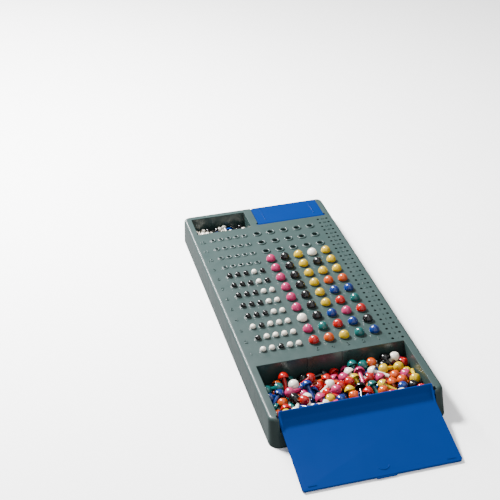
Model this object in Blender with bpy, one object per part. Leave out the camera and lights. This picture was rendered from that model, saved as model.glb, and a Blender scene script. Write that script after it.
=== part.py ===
"""Code breaking peg game: playing board, storage lid, code shield, code pegs and key pegs.

Metres, +Z up. The origin is on the table, in the middle of the outline that the game covers with its storage lid
open. +Y points from the players' storage bin to the secret code at the far end.
"""

import math

import bmesh
import bpy
import numpy as np
from mathutils import Vector

# Counts of holes, and how many sides the round shapes are given
ROWS = 12
CODE_COLUMNS = 5
KEY_COLUMNS = 5
SCORE_COLUMNS = 2
SCORE_ROWS = 30
CODE_SIDES = 8
KEY_SIDES = 6
SCORE_SIDES = 4
PIN_SIDES = 12
CORNER_STEPS = 4
FILLET_STEPS = 3
BARREL_STEPS = 8

# Pegs in the board, row 1 first: one letter is one peg's colour
CODE_ROWS = ("ROYTB", "PTRBK", "WKBPR", "PKYRT", "PKYBB", "PKYOO", "PKYYY", "PKYKY", "PKYWY")
KEY_ROWS = ("WWKWW", "KWWWW", "WKWWW", "KKKWW", "KKKWW", "KKKWW", "KKKWK", "KKKWK")

# Loose pegs: how many lie in each bin, how they fall, and how finely the heap is drawn
LARGE_HEAP_PEGS = 118
SMALL_HEAP_PEGS = 60
STRAY_PEGS = 2
HEAP_SEED = 7
FALL_STEPS = 90
FALL_PASSES = 4
SHANK_BALLS = 4
SKIN_STEPS = 8
SKIN_SIDES = 16
LARGE_HEAP_CELLS = (64, 30)
SMALL_HEAP_CELLS = (32, 18)
LARGE_HEAP_PULL = (0.10, -0.18, -1.0)
SMALL_HEAP_PULL = (0.0, 0.05, -1.0)

COLOURS = {
    "R": ("peg_red", (0.62, 0.02, 0.02)),
    "O": ("peg_orange", (0.90, 0.16, 0.02)),
    "Y": ("peg_yellow", (0.90, 0.70, 0.03)),
    "T": ("peg_teal", (0.01, 0.24, 0.19)),
    "B": ("peg_blue", (0.01, 0.10, 0.42)),
    "P": ("peg_pink", (0.68, 0.07, 0.26)),
    "W": ("peg_white", (0.86, 0.84, 0.78)),
    "K": ("peg_black", (0.015, 0.015, 0.017)),
}
BOARD_COLOUR = (0.235, 0.305, 0.295)
LID_COLOUR = (0.004, 0.112, 0.420)

# Clearances, and how far cutting shapes run past what they cut
clearance = 0.0003
overrun = 0.002
overlap = 0.0005

# Spacing of the holes
row_pitch = 0.014
code_pitch = 0.01106
key_pitch = 0.0064
score_pitch = 0.0060
score_column_gap = 0.0073
left_margin = 0.0154
key_to_code = 0.0107
code_to_score = 0.0095
right_margin = 0.0055

# Lengths along the board, from its front edge to its far edge
bin_reach = 0.0570
row_margin = 0.0158
far_margin = 0.0127
far_bin_length = 0.0251
far_wall = 0.0059
score_lead = 0.0086

# Walls, flares and roundings of the moulding
shell_wall = 0.002
deck_thickness = 0.002
bin_wall = 0.002
bin_floor = 0.0016
cheek_width = 0.0063
far_cheek_width = 0.0057
divider_width = 0.0070
small_bin_share = 0.445
side_flare = 0.0009
far_flare = 0.0012
front_slope = math.radians(16.5)
corner_radius = 0.005
front_corner_growth = 0.006
far_corner_growth = 0.002
top_fillet = 0.0022

# Code pegs and the bosses that they stand in
code_head_radius = 0.0037
code_head_height = 0.0044
code_shank_radius = 0.0014
code_shank_length = 0.0110
code_boss_radius = 0.00365
code_boss_height = 0.0009

# Key pegs and their rings
key_head_radius = 0.0021
key_head_height = 0.0025
key_shank_radius = 0.00075
key_shank_length = 0.0085
key_ring_radius = 0.0022
key_ring_height = 0.0005
score_hole_radius = 0.0009

# Turned outlines of a peg: (share of a radius, share of a length), from the shank's tip to the crown
SHANK_SHARES = ((0.0, 1.0), (0.78, 1.0), (1.0, 0.0))
HEAD_SHARES = ((1.0, 0.0), (0.98, 0.25), (0.70, 0.72), (0.0, 1.0))
WEB_WIDTH_SHARE = 0.42
WEB_HEIGHT_SHARES = (0.10, 0.30)
BOSS_TOP_SHARE = 0.86

# Storage lid: plate, strip and gussets turn about a pin near the front edge
lid_thickness = 0.0016
lid_side_gap = 0.0008
lid_tip_gap = 0.0016
pin_setback = 0.0021
pin_depth = 0.0035
lid_pin_radius = 0.0011
pin_engagement = 0.0009
strip_height = 0.0063
strip_thickness = 0.0014
gusset_length = 0.0081
gusset_thickness = 0.0012
tab_reach = 0.0010
tab_width = 0.0130
tab_offset = 0.0020
tab_step = 0.0002
lid_corner_radius = 0.0015
table_gap = 0.0002

# Code shield: a plate whose near edge is rolled round its pins
shield_thickness = 0.0016
shield_barrel_radius = 0.0017
shield_pin_radius = 0.0010
shield_side_gap = 0.0004
shield_far_inset = 0.0017
shield_setback = 0.0015
shield_headroom = 0.0018
foot_gap = 0.0005
rib_height = 0.0003
rib_width = 0.0009
rib_inset = 0.0070
rib_end_gap = 0.0040

# Heaps of loose pegs: room round them, and the spacing, reach, step and top pace of the fall
heap_margin = 0.0006
large_heap_top = 0.0149
small_heap_top = 0.0085
small_heap_ceiling = 0.0069
heap_least = 0.0030
fall_pitch = 0.0095
fall_reach = 0.0220
fall_step = 0.00012
fall_pace = 0.0012
scatter_share = 0.12
first_rise_share = 0.6
lowering_share = 0.6
drag_share = 0.85
head_ball_share = 0.95
shank_ball_share = 1.05
TINY = 1e-9

# Places across the board
code_span = (CODE_COLUMNS - 1) * code_pitch
key_span = (KEY_COLUMNS - 1) * key_pitch
board_width = (
    left_margin + key_span + key_to_code + code_span + code_to_score + score_column_gap + right_margin
)
board_half = board_width / 2
key_first_x = left_margin - board_half
code_first_x = key_first_x + key_span + key_to_code
score_first_x = code_first_x + code_span + code_to_score
bin_half = board_half - cheek_width
small_left = far_cheek_width - board_half
far_room = board_width - 2 * far_cheek_width - divider_width
small_right = small_left + small_bin_share * far_room
recess_left = small_right + divider_width - shield_side_gap
recess_right = board_half - far_cheek_width + shield_side_gap

# Heights above the table
code_recess = shield_thickness + shield_headroom + code_head_height + clearance
board_height = code_recess + code_shank_length + foot_gap
recess_floor_z = board_height - code_recess
far_gate_z = board_height - shield_thickness - clearance
code_seat_z = board_height + code_boss_height + clearance
key_seat_z = board_height + key_ring_height + clearance
secret_seat_z = recess_floor_z + clearance

# The open lid leans on the table with its finger tab: the tilt follows from the heights
lid_tip_reach = bin_reach - pin_setback - lid_tip_gap
lid_tab_reach = lid_tip_reach + tab_reach
lid_drop = board_height - pin_depth - table_gap
tab_outer = pin_depth - tab_step
lid_tilt = math.asin(lid_drop / math.hypot(lid_tab_reach, tab_outer)) - math.atan2(tab_outer, lid_tab_reach)
lid_open_angle = math.pi + lid_tilt
lid_inner = pin_depth - lid_thickness

# Places along the board: the origin is halfway between the lid's tab and the far foot of the board
board_length = bin_reach + row_margin + (ROWS - 1) * row_pitch + far_margin + far_bin_length + far_wall
tab_y = pin_setback - lid_tab_reach * math.cos(lid_tilt) + (lid_inner + tab_step) * math.sin(lid_tilt)
front_y = -(tab_y + board_length + far_flare) / 2
far_y = front_y + board_length
bin_back_y = front_y + bin_reach
first_row_y = bin_back_y + row_margin
last_row_y = first_row_y + (ROWS - 1) * row_pitch
score_far_y = last_row_y + score_lead
far_bin_near_y = last_row_y + far_margin
far_bin_far_y = far_bin_near_y + far_bin_length
recess_near_y = far_bin_near_y + shield_setback
front_flare = board_height * math.tan(front_slope)

# Hinge axes
lid_pin_y = front_y + pin_setback
lid_pin_z = board_height - pin_depth
shield_pin_y = recess_near_y + clearance + shield_barrel_radius
shield_pin_z = board_height - shield_barrel_radius
shield_pin_reach = pin_engagement + shield_side_gap

# The lid's strip continues the slope of the front wall: (y, z) from the pin with the lid closed
strip_slant = Vector((-math.sin(front_slope), -math.cos(front_slope)))
strip_root = Vector((-pin_setback, pin_depth))
strip_foot = strip_root + strip_slant * (strip_height + lid_thickness / math.cos(front_slope))
strip_normal = Vector((math.cos(front_slope), -math.sin(front_slope)))
strip_sweep = strip_foot.length
front_gate_z = lid_pin_z - strip_sweep - clearance


def fresh_scene():
    """Removes every object, so that the script can run again in an open file."""
    for item in list(bpy.data.objects):
        bpy.data.objects.remove(item, do_unlink=True)


def plastic(name, colour, roughness):
    """Makes one moulded plastic material."""
    material = bpy.data.materials.new(name)
    material.use_nodes = True
    shader = material.node_tree.nodes["Principled BSDF"]
    shader.inputs["Base Color"].default_value = (*colour, 1.0)
    shader.inputs["Roughness"].default_value = roughness
    shader.inputs["Metallic"].default_value = 0.0
    material.diffuse_color = (*colour, 1.0)
    return material


def add_box(shape, low, high):
    """Adds a box between two corners."""
    made = bmesh.ops.create_cube(shape, size=1.0)
    for vert in made["verts"]:
        vert.co = Vector(l + (h - l) * (c + 0.5) for l, h, c in zip(low, high, vert.co))


def add_loft(shape, rings):
    """Joins rings of points, lowest first, into a closed solid."""
    levels = [[shape.verts.new(point) for point in ring] for ring in rings]
    count = len(levels[0])
    for lower, upper in zip(levels, levels[1:]):
        for i in range(count):
            j = (i + 1) % count
            shape.faces.new((lower[i], lower[j], upper[j], upper[i]))
    shape.faces.new(reversed(levels[0]))
    shape.faces.new(levels[-1])


def ring_points(x, y, z, radius, sides):
    """Points of a regular polygon at a height."""
    turns = [math.tau * (i + 0.5) / sides for i in range(sides)]
    return [(x + radius * math.cos(t), y + radius * math.sin(t), z) for t in turns]


def add_post(shape, x, y, low, high, radius, sides, top_radius=None):
    """Adds an upright post, tapered if a top radius is given."""
    top = radius if top_radius is None else top_radius
    add_loft(shape, [ring_points(x, y, low, radius, sides), ring_points(x, y, high, top, sides)])


def add_bar(shape, points, start_x, end_x):
    """Adds a bar along X with an outline of (y, z) points."""
    add_loft(shape, [[(x, y, z) for y, z in points] for x in (start_x, end_x)])


def add_turned(shape, x, y, seat_z, outline, sides):
    """Adds a turned solid: the outline's first and last points lie on its axis."""
    middle = outline[1:-1]
    levels = [[shape.verts.new(p) for p in ring_points(x, y, seat_z + z, r, sides)] for r, z in middle]
    foot = shape.verts.new((x, y, seat_z + outline[0][1]))
    crown = shape.verts.new((x, y, seat_z + outline[-1][1]))
    for i in range(sides):
        j = (i + 1) % sides
        shape.faces.new((foot, levels[0][j], levels[0][i]))
        shape.faces.new((crown, levels[-1][i], levels[-1][j]))
        for lower, upper in zip(levels, levels[1:]):
            shape.faces.new((lower[i], lower[j], upper[j], upper[i]))


def finished_mesh(name, shape, material=None):
    """Turns a bmesh into a smooth-shaded mesh with its faces pointing out."""
    bmesh.ops.recalc_face_normals(shape, faces=shape.faces)
    mesh = bpy.data.meshes.new(name)
    shape.to_mesh(mesh)
    shape.free()
    mesh.shade_smooth()
    mesh.set_sharp_from_angle(angle=math.radians(35))
    if material:
        mesh.materials.append(material)
    return mesh


def place(name, mesh, location=(0.0, 0.0, 0.0), turn_x=0.0):
    """Puts a mesh in the scene as a named object."""
    item = bpy.data.objects.new(name, mesh)
    item.location = location
    item.rotation_euler = (turn_x, 0.0, 0.0)
    bpy.context.scene.collection.objects.link(item)
    return item


def tool(name, shape):
    """Makes a hidden object that a Boolean modifier uses."""
    item = place(name, finished_mesh(name, shape))
    item.hide_render = True
    item.display_type = "WIRE"
    return item


def combine(item, operation, other):
    """Adds a Boolean modifier."""
    modifier = item.modifiers.new(other.name, "BOOLEAN")
    modifier.operation = operation
    modifier.solver = "EXACT"
    modifier.object = other


def board_outline(height, inset=0.0):
    """The board's outline at a height, drawn in by an inset. It flares towards the table."""
    low = 1 - height / board_height
    half = board_half + side_flare * low - inset
    front = front_y - front_flare * low + inset
    far = far_y + far_flare * low - inset
    front_radius = corner_radius + front_corner_growth * low - inset
    far_radius = corner_radius + far_corner_growth * low - inset
    corners = (
        (front_radius - half, front + front_radius, front_radius, 2),
        (half - front_radius, front + front_radius, front_radius, 3),
        (half - far_radius, far - far_radius, far_radius, 0),
        (far_radius - half, far - far_radius, far_radius, 1),
    )
    points = []
    for x, y, radius, quarter in corners:
        for step in range(CORNER_STEPS + 1):
            turn = math.pi / 2 * (quarter + step / CORNER_STEPS)
            points.append((x + radius * math.cos(turn), y + radius * math.sin(turn), height))
    return points


def code_places():
    """Centres of the code holes on the deck, row 1 first."""
    for row in range(ROWS):
        for column in range(CODE_COLUMNS):
            yield code_first_x + column * code_pitch, first_row_y + row * row_pitch


def key_places():
    """Centres of the key holes on the deck, row 1 first."""
    for row in range(ROWS):
        for column in range(KEY_COLUMNS):
            yield key_first_x + column * key_pitch, first_row_y + row * row_pitch


def score_places():
    """Centres of the score track's holes."""
    for step in range(SCORE_ROWS):
        for column in range(SCORE_COLUMNS):
            yield score_first_x + column * score_column_gap, score_far_y - step * score_pitch


def secret_places():
    """Centres of the holes in the secret code's recess."""
    middle_x = (recess_left + recess_right) / 2
    y = (shield_pin_y + far_bin_far_y) / 2
    return [(middle_x + (i - (CODE_COLUMNS - 1) / 2) * code_pitch, y) for i in range(CODE_COLUMNS)]


def hole_radius(shank_radius, sides):
    """A hole whose flat sides clear the shank."""
    return (shank_radius + clearance) / math.cos(math.pi / sides)


def board_bosses():
    """Raised bosses round the code holes and low rings round the key holes."""
    shape = bmesh.new()
    low = board_height - overlap
    for x, y in code_places():
        top = code_boss_radius * BOSS_TOP_SHARE
        add_post(shape, x, y, low, board_height + code_boss_height, code_boss_radius, CODE_SIDES, top)
    for x, y in key_places():
        add_post(shape, x, y, low, board_height + key_ring_height, key_ring_radius, KEY_SIDES)
    return tool("boss_tool", shape)


def board_holes():
    """Every peg hole, and the track's holes for keeping score."""
    shape = bmesh.new()
    low = board_height - deck_thickness - overrun
    high = board_height + code_boss_height + overrun
    code_radius = hole_radius(code_shank_radius, CODE_SIDES)
    key_radius = hole_radius(key_shank_radius, KEY_SIDES)
    for x, y in code_places():
        add_post(shape, x, y, low, high, code_radius, CODE_SIDES)
    for x, y in key_places():
        add_post(shape, x, y, low, high, key_radius, KEY_SIDES)
    for x, y in score_places():
        add_post(shape, x, y, low, high, score_hole_radius, SCORE_SIDES)
    for x, y in secret_places():
        add_post(shape, x, y, recess_floor_z - deck_thickness - overrun, high, code_radius, CODE_SIDES)
    return tool("hole_tool", shape)


def board_pockets():
    """The two open bins and the recess that the code shield closes."""
    shape = bmesh.new()
    high = board_height + overrun
    inner_foot_y = front_y + shell_wall / math.cos(front_slope) - (board_height - bin_floor) * math.tan(front_slope)
    inner_gate_y = inner_foot_y + (front_gate_z - bin_floor) * math.tan(front_slope)
    outside_y = front_y - front_flare - overrun
    storage = (
        (bin_back_y, high),
        (outside_y, high),
        (outside_y, front_gate_z),
        (inner_gate_y, front_gate_z),
        (inner_foot_y, bin_floor),
        (bin_back_y, bin_floor),
    )
    add_bar(shape, storage, -bin_half, bin_half)
    add_box(shape, (small_left, far_bin_near_y, bin_floor), (small_right, far_bin_far_y, high))
    beyond_y = far_y + far_flare + overrun
    recess = (
        (beyond_y, high),
        (recess_near_y, high),
        (recess_near_y, recess_floor_z),
        (far_bin_far_y, recess_floor_z),
        (far_bin_far_y, far_gate_z),
        (beyond_y, far_gate_z),
    )
    add_bar(shape, recess, recess_left, recess_right)
    return tool("pocket_tool", shape)


def hinge_slots():
    """Slots, open at the deck, that the pins of lid and shield snap into."""
    shape = bmesh.new()
    depth = pin_engagement + clearance
    top = board_height + overrun
    for side in (-1, 1):
        reach = lid_pin_radius + clearance
        ends = sorted((side * (bin_half - overlap), side * (bin_half + depth)))
        low = (ends[0], lid_pin_y - reach, lid_pin_z - reach)
        add_box(shape, low, (ends[1], lid_pin_y + reach, top))
    reach = shield_pin_radius + clearance
    for wall, side in ((recess_left, -1), (recess_right, 1)):
        ends = sorted((wall - side * overlap, wall + side * depth))
        low = (ends[0], shield_pin_y - reach, shield_pin_z - reach)
        add_box(shape, low, (ends[1], shield_pin_y + reach, top))
    return tool("slot_tool", shape)


def board_hollow():
    """The open underside: it stops at the deck and leaves the bins and the recess standing."""
    shape = bmesh.new()
    ceiling = board_height - deck_thickness
    add_loft(shape, [board_outline(z, shell_wall) for z in (-overrun, ceiling)])
    hollow = tool("hollow_tool", shape)
    outside_x = board_half + side_flare + overrun
    outside_near = front_y - 2 * front_flare - overrun
    outside_far = far_y + 2 * far_flare + overrun
    top = board_height + overrun
    kept = bmesh.new()
    wall_x = bin_half + bin_wall
    add_box(kept, (-wall_x, outside_near, -2 * overrun), (wall_x, bin_back_y + bin_wall, top))
    near = far_bin_near_y - bin_wall
    add_box(kept, (-outside_x, near, -2 * overrun), (recess_left, outside_far, top))
    combine(hollow, "DIFFERENCE", tool("bin_walls_tool", kept))
    kept = bmesh.new()
    low = (recess_left - bin_wall, recess_near_y - bin_wall, recess_floor_z - deck_thickness)
    add_box(kept, low, (outside_x, outside_far, top))
    combine(hollow, "DIFFERENCE", tool("recess_walls_tool", kept))
    return hollow


def make_board(material):
    """The one-piece moulding that carries everything else."""
    shape = bmesh.new()
    rings = [board_outline(0.0)]
    for step in range(FILLET_STEPS + 1):
        turn = math.pi / 2 * step / FILLET_STEPS
        height = board_height - top_fillet * (1 - math.sin(turn))
        rings.append(board_outline(height, top_fillet * (1 - math.cos(turn))))
    add_loft(shape, rings)
    board = place("playing_board", finished_mesh("playing_board", shape, material))
    combine(board, "UNION", board_bosses())
    combine(board, "DIFFERENCE", board_hollow())
    combine(board, "DIFFERENCE", board_pockets())
    combine(board, "DIFFERENCE", hinge_slots())
    combine(board, "DIFFERENCE", board_holes())


def add_pin(shape, start_x, end_x, radius):
    """Adds a hinge pin along X, centred on the object's origin."""
    turns = [math.tau * i / PIN_SIDES for i in range(PIN_SIDES)]
    add_bar(shape, [(radius * math.cos(t), radius * math.sin(t)) for t in turns], start_x, end_x)


def rounded_corners(shape, radius, tip):
    """Rounds the upright edges at a plate's tip."""
    edges = []
    for edge in shape.edges:
        first, second = (vert.co for vert in edge.verts)
        if min(first.y, second.y) > tip - overlap and abs(first.x - second.x) < overlap:
            edges.append(edge)
    bmesh.ops.bevel(shape, geom=edges, offset=radius, segments=3, affect="EDGES", profile=0.5)


def make_lid(material):
    """Plate, strip and end gussets in one moulding, drawn closed and turned open about its pins."""
    half = bin_half - lid_side_gap
    inner_root = strip_root + strip_normal * strip_thickness
    ridge = inner_root + strip_slant * ((inner_root.y - lid_inner) / math.cos(front_slope))
    strip_end = strip_foot + strip_normal * strip_thickness
    gusset_foot = Vector((ridge.x + gusset_length, lid_inner))
    outline = (
        strip_root,
        Vector((lid_tip_reach, pin_depth)),
        Vector((lid_tip_reach, lid_inner)),
        gusset_foot,
        strip_end,
        strip_foot,
    )
    stations = (-half, gusset_thickness - half, half - gusset_thickness, half)
    shape = bmesh.new()
    rings = [[shape.verts.new((x, *point)) for point in outline] for x in stations]
    ridges = [shape.verts.new((x, *ridge)) for x in stations[1:3]]
    count = len(outline)
    foot_at = 3
    for span, (here, there) in enumerate(zip(rings, rings[1:])):
        for i in range(count):
            if span == 1 and i == foot_at:
                continue
            j = (i + 1) % count
            shape.faces.new((here[i], here[j], there[j], there[i]))
    near, far = rings[1], rings[2]
    shape.faces.new((near[foot_at], ridges[0], ridges[1], far[foot_at]))
    shape.faces.new((ridges[0], near[foot_at + 1], far[foot_at + 1], ridges[1]))
    shape.faces.new((near[foot_at], near[foot_at + 1], ridges[0]))
    shape.faces.new((far[foot_at], ridges[1], far[foot_at + 1]))
    shape.faces.new(rings[0])
    shape.faces.new(reversed(rings[-1]))
    bmesh.ops.recalc_face_normals(shape, faces=shape.faces)
    bmesh.ops.dissolve_limit(shape, angle_limit=math.radians(1), verts=shape.verts, edges=shape.edges)
    rounded_corners(shape, lid_corner_radius, lid_tip_reach)
    lid = place("storage_lid", finished_mesh("storage_lid", shape, material))
    lid.location = (0.0, lid_pin_y, lid_pin_z)
    lid.rotation_euler = (lid_open_angle, 0.0, 0.0)
    extras = bmesh.new()
    pin_end = bin_half + pin_engagement
    for side in (-1, 1):
        ends = sorted((side * (half - gusset_thickness + overlap), side * pin_end))
        add_pin(extras, ends[0], ends[1], lid_pin_radius)
    tab_x = tab_offset - tab_width / 2
    low = (tab_x, lid_tip_reach - 2 * lid_thickness, lid_inner + tab_step)
    add_box(extras, low, (tab_x + tab_width, lid_tab_reach, tab_outer))
    added = tool("lid_extras_tool", extras)
    added.location = lid.location
    added.rotation_euler = lid.rotation_euler
    combine(lid, "UNION", added)


def make_shield(material):
    """Plate with a rolled near edge round its pins, drawn closed."""
    half = (recess_right - recess_left) / 2 - shield_side_gap
    reach = far_y - shield_far_inset - shield_pin_y
    barrel = shield_barrel_radius
    underside = barrel - shield_thickness
    start, end = math.pi / 2, math.tau + math.asin(underside / barrel)
    turns = [start + (end - start) * step / BARREL_STEPS for step in range(BARREL_STEPS + 1)]
    outline = [(barrel * math.cos(turn), barrel * math.sin(turn)) for turn in turns]
    outline += [(reach, underside), (reach, barrel)]
    shape = bmesh.new()
    add_bar(shape, outline, -half, half)
    rounded_corners(shape, lid_corner_radius, reach)
    middle_x = (recess_left + recess_right) / 2
    shield = place("code_shield", finished_mesh("code_shield", shape, material))
    shield.location = (middle_x, shield_pin_y, shield_pin_z)
    extras = bmesh.new()
    for side in (-1, 1):
        ends = sorted((side * (half - overrun), side * (half + shield_pin_reach)))
        add_pin(extras, ends[0], ends[1], shield_pin_radius)
        rib_x = side * (half - rib_inset)
        low = (rib_x - rib_width / 2, rib_end_gap, barrel - overlap)
        add_box(extras, low, (rib_x + rib_width / 2, reach - rib_end_gap, barrel + rib_height))
    added = tool("shield_extras_tool", extras)
    added.location = shield.location
    combine(shield, "UNION", added)


def peg_outline(shank_radius, shank_length, head_radius, head_height):
    """A peg's turned outline in metres, measured from where its head sits."""
    shank = [(r * shank_radius, -z * shank_length) for r, z in SHANK_SHARES]
    head = [(r * head_radius, z * head_height) for r, z in HEAD_SHARES]
    return shank + head


def code_peg_outline():
    """The outline of every code peg."""
    return peg_outline(code_shank_radius, code_shank_length, code_head_radius, code_head_height)


def key_peg_outline():
    """The outline of every key peg."""
    return peg_outline(key_shank_radius, key_shank_length, key_head_radius, key_head_height)


def make_code_pegs(materials):
    """One object for each code peg in the board; pegs of a colour share a mesh."""
    meshes = {}
    for letter in COLOURS:
        shape = bmesh.new()
        add_turned(shape, 0.0, 0.0, 0.0, code_peg_outline(), CODE_SIDES)
        meshes[letter] = finished_mesh("code_" + COLOURS[letter][0], shape, materials[letter])
    for row, letters in enumerate(CODE_ROWS):
        for column, letter in enumerate(letters):
            x = code_first_x + column * code_pitch
            y = first_row_y + row * row_pitch
            place(f"code_peg_r{row + 1}_c{column + 1}", meshes[letter], (x, y, code_seat_z))


def peg_row(name, offsets, outline, sides, location, material):
    """A row of pegs in one solid, held together by a thin web between the heads."""
    web = bmesh.new()
    head_radius = max(r for r, z in outline)
    head_height = outline[-1][1]
    width = WEB_WIDTH_SHARE * head_radius
    low, high = (share * head_height for share in WEB_HEIGHT_SHARES)
    add_box(web, (offsets[0], -width / 2, low), (offsets[-1], width / 2, high))
    row = place(name, finished_mesh(name, web, material), location)
    pegs = bmesh.new()
    for x in offsets:
        add_turned(pegs, x, 0.0, 0.0, outline, sides)
    added = tool(name + "_tool", pegs)
    added.location = location
    combine(row, "UNION", added)


def make_key_rows(material):
    """The key pegs, one solid for each row of the board that has them."""
    offsets = [(i - (KEY_COLUMNS - 1) / 2) * key_pitch for i in range(KEY_COLUMNS)]
    x = key_first_x + key_span / 2
    for row in range(len(KEY_ROWS)):
        location = (x, first_row_y + row * row_pitch, key_seat_z)
        peg_row(f"key_pegs_row_{row + 1}", offsets, key_peg_outline(), KEY_SIDES, location, material)


def make_secret_code(material):
    """The hidden code, one solid of pegs in the recess under the shield."""
    places = secret_places()
    x, y = places[len(places) // 2]
    offsets = [place_x - x for place_x, place_y in places]
    location = (x, y, secret_seat_z)
    peg_row("secret_code_pegs", offsets, code_peg_outline(), CODE_SIDES, location, material)


def peg_balls(shank_radius, shank_length, head_radius, head_height):
    """A peg as a chain of balls along its axis, as centres and radii."""
    ball = head_radius * head_ball_share
    heights = [head_height - ball]
    heights += [-shank_length * (step + 1) / SHANK_BALLS for step in range(SHANK_BALLS)]
    heights[-1] += shank_radius
    return [(0.0, 0.0, z) for z in heights], [ball] + [shank_radius * shank_ball_share] * SHANK_BALLS


def random_turns(generator, amount):
    """Random rotation matrices."""
    q = generator.normal(size=(amount, 4))
    w, x, y, z = (q / np.linalg.norm(q, axis=1)[:, None]).T
    rows = [
        [1 - 2 * (y * y + z * z), 2 * (x * y - z * w), 2 * (x * z + y * w)],
        [2 * (x * y + z * w), 1 - 2 * (x * x + z * z), 2 * (y * z - x * w)],
        [2 * (x * z - y * w), 2 * (y * z + x * w), 1 - 2 * (x * x + y * y)],
    ]
    return np.array(rows).transpose(2, 0, 1)


def settled(balls, low, high, pull, generator):
    """Drops pegs, each a rigid chain of balls, into a box. Returns a turn and a place for each.

    The pull leans to where the heap is higher.
    """
    shapes, radii = (np.round(np.array(part), 7) for part in zip(*balls))
    low, high = np.round(low, 7), np.round(high, 7)
    amount = len(shapes)
    columns, rows = (max(1, int(side / fall_pitch)) for side in (high - low)[:2])
    order = np.arange(amount)
    spots = np.stack([(order % columns + 0.5) / columns, (order // columns % rows + 0.5) / rows], 1)
    rise = low[2] + fall_pitch * (first_rise_share + order // (columns * rows))
    centres = np.concatenate([low[:2] + spots * (high - low)[:2], rise[:, None]], 1)
    centres += generator.normal(size=(amount, 3)) * fall_pitch * scatter_share
    weight = radii**2 / (radii**2).sum(1, keepdims=True)
    local = shapes - (shapes * weight[..., None]).sum(1)[:, None]
    turns = random_turns(generator, amount)
    points = np.einsum("nij,nbj->nbi", turns, local) + centres[:, None]
    speed = np.zeros_like(points)
    for step in range(FALL_STEPS):
        before = points.copy()
        points = points + speed + np.round(pull, 7) * fall_step
        near = np.linalg.norm(centres[:, None] - centres[None], axis=2) < fall_reach
        first, second = np.nonzero(np.triu(near, 1))
        reach = radii[first][:, :, None] + radii[second][:, None]
        top = high.copy()
        top[2] += 2 * fall_pitch * max(0.0, 1 - step / (FALL_STEPS * lowering_share))
        for _ in range(FALL_PASSES):
            gap = points[first][:, :, None] - points[second][:, None]
            apart = np.linalg.norm(gap, axis=3)
            push = np.maximum(0.0, reach - apart) / np.maximum(apart, TINY) / 2
            shift = gap * push[..., None]
            np.add.at(points, first, shift.sum(2))
            np.add.at(points, second, -shift.sum(1))
            points = np.clip(points, low + radii[..., None], top - radii[..., None])
            centres = (points * weight[..., None]).sum(1)
            moment = np.einsum("nb,nbi,nbj->nij", weight, points - centres[:, None], local)
            u, _, v = np.linalg.svd(moment)
            u[:, :, 2] *= np.sign(np.linalg.det(u @ v))[:, None]
            turns = u @ v
            points = centres[:, None] + np.einsum("nij,nbj->nbi", turns, local)
        speed = (points - before) * drag_share
        pace = np.linalg.norm(speed, axis=2, keepdims=True)
        speed *= np.minimum(1.0, fall_pace / np.maximum(pace, TINY))
    return [(turn, ball - turn @ own) for turn, ball, own in zip(turns, points[:, 0], shapes[:, 0])]


def peg_skin(outline):
    """Points all over a peg, worked out from its turned outline."""
    points = []
    for (r, z), (next_r, next_z) in zip(outline, outline[1:]):
        for step in range(SKIN_STEPS):
            share = step / SKIN_STEPS
            radius, height = r + (next_r - r) * share, z + (next_z - z) * share
            points += ring_points(0.0, 0.0, height, radius, SKIN_SIDES)
    return np.array(points)


def make_heap(name, low, high, cells, pegs, material):
    """A heap of loose pegs in one solid, whose top follows the highest peg at each point of a grid."""
    columns, rows = cells
    heights = np.full((columns + 1, rows + 1), heap_least)
    for skin, turn, place_of_peg in pegs:
        points = skin @ turn.T + place_of_peg
        i = np.clip(np.rint((points[:, 0] - low[0]) / (high[0] - low[0]) * columns), 0, columns).astype(int)
        j = np.clip(np.rint((points[:, 1] - low[1]) / (high[1] - low[1]) * rows), 0, rows).astype(int)
        np.maximum.at(heights, (i, j), points[:, 2])
    heights = np.minimum(heights, high[2])
    shape = bmesh.new()
    tops = []
    for j in range(rows + 1):
        y = low[1] + (high[1] - low[1]) * j / rows
        across = [low[0] + (high[0] - low[0]) * i / columns for i in range(columns + 1)]
        tops.append([shape.verts.new((x, y, heights[i, j])) for i, x in enumerate(across)])
    for near, far in zip(tops, tops[1:]):
        for i in range(columns):
            shape.faces.new((near[i], near[i + 1], far[i + 1]))
            shape.faces.new((near[i], far[i + 1], far[i]))
    rim = tops[0][:-1] + [line[-1] for line in tops[:-1]] + tops[-1][:0:-1] + [line[0] for line in tops[:0:-1]]
    feet = [shape.verts.new((vert.co.x, vert.co.y, low[2])) for vert in rim]
    for i in range(len(rim)):
        j = (i + 1) % len(rim)
        shape.faces.new((feet[i], feet[j], rim[j], rim[i]))
    shape.faces.new(reversed(feet))
    place(name, finished_mesh(name, shape, material))


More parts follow.
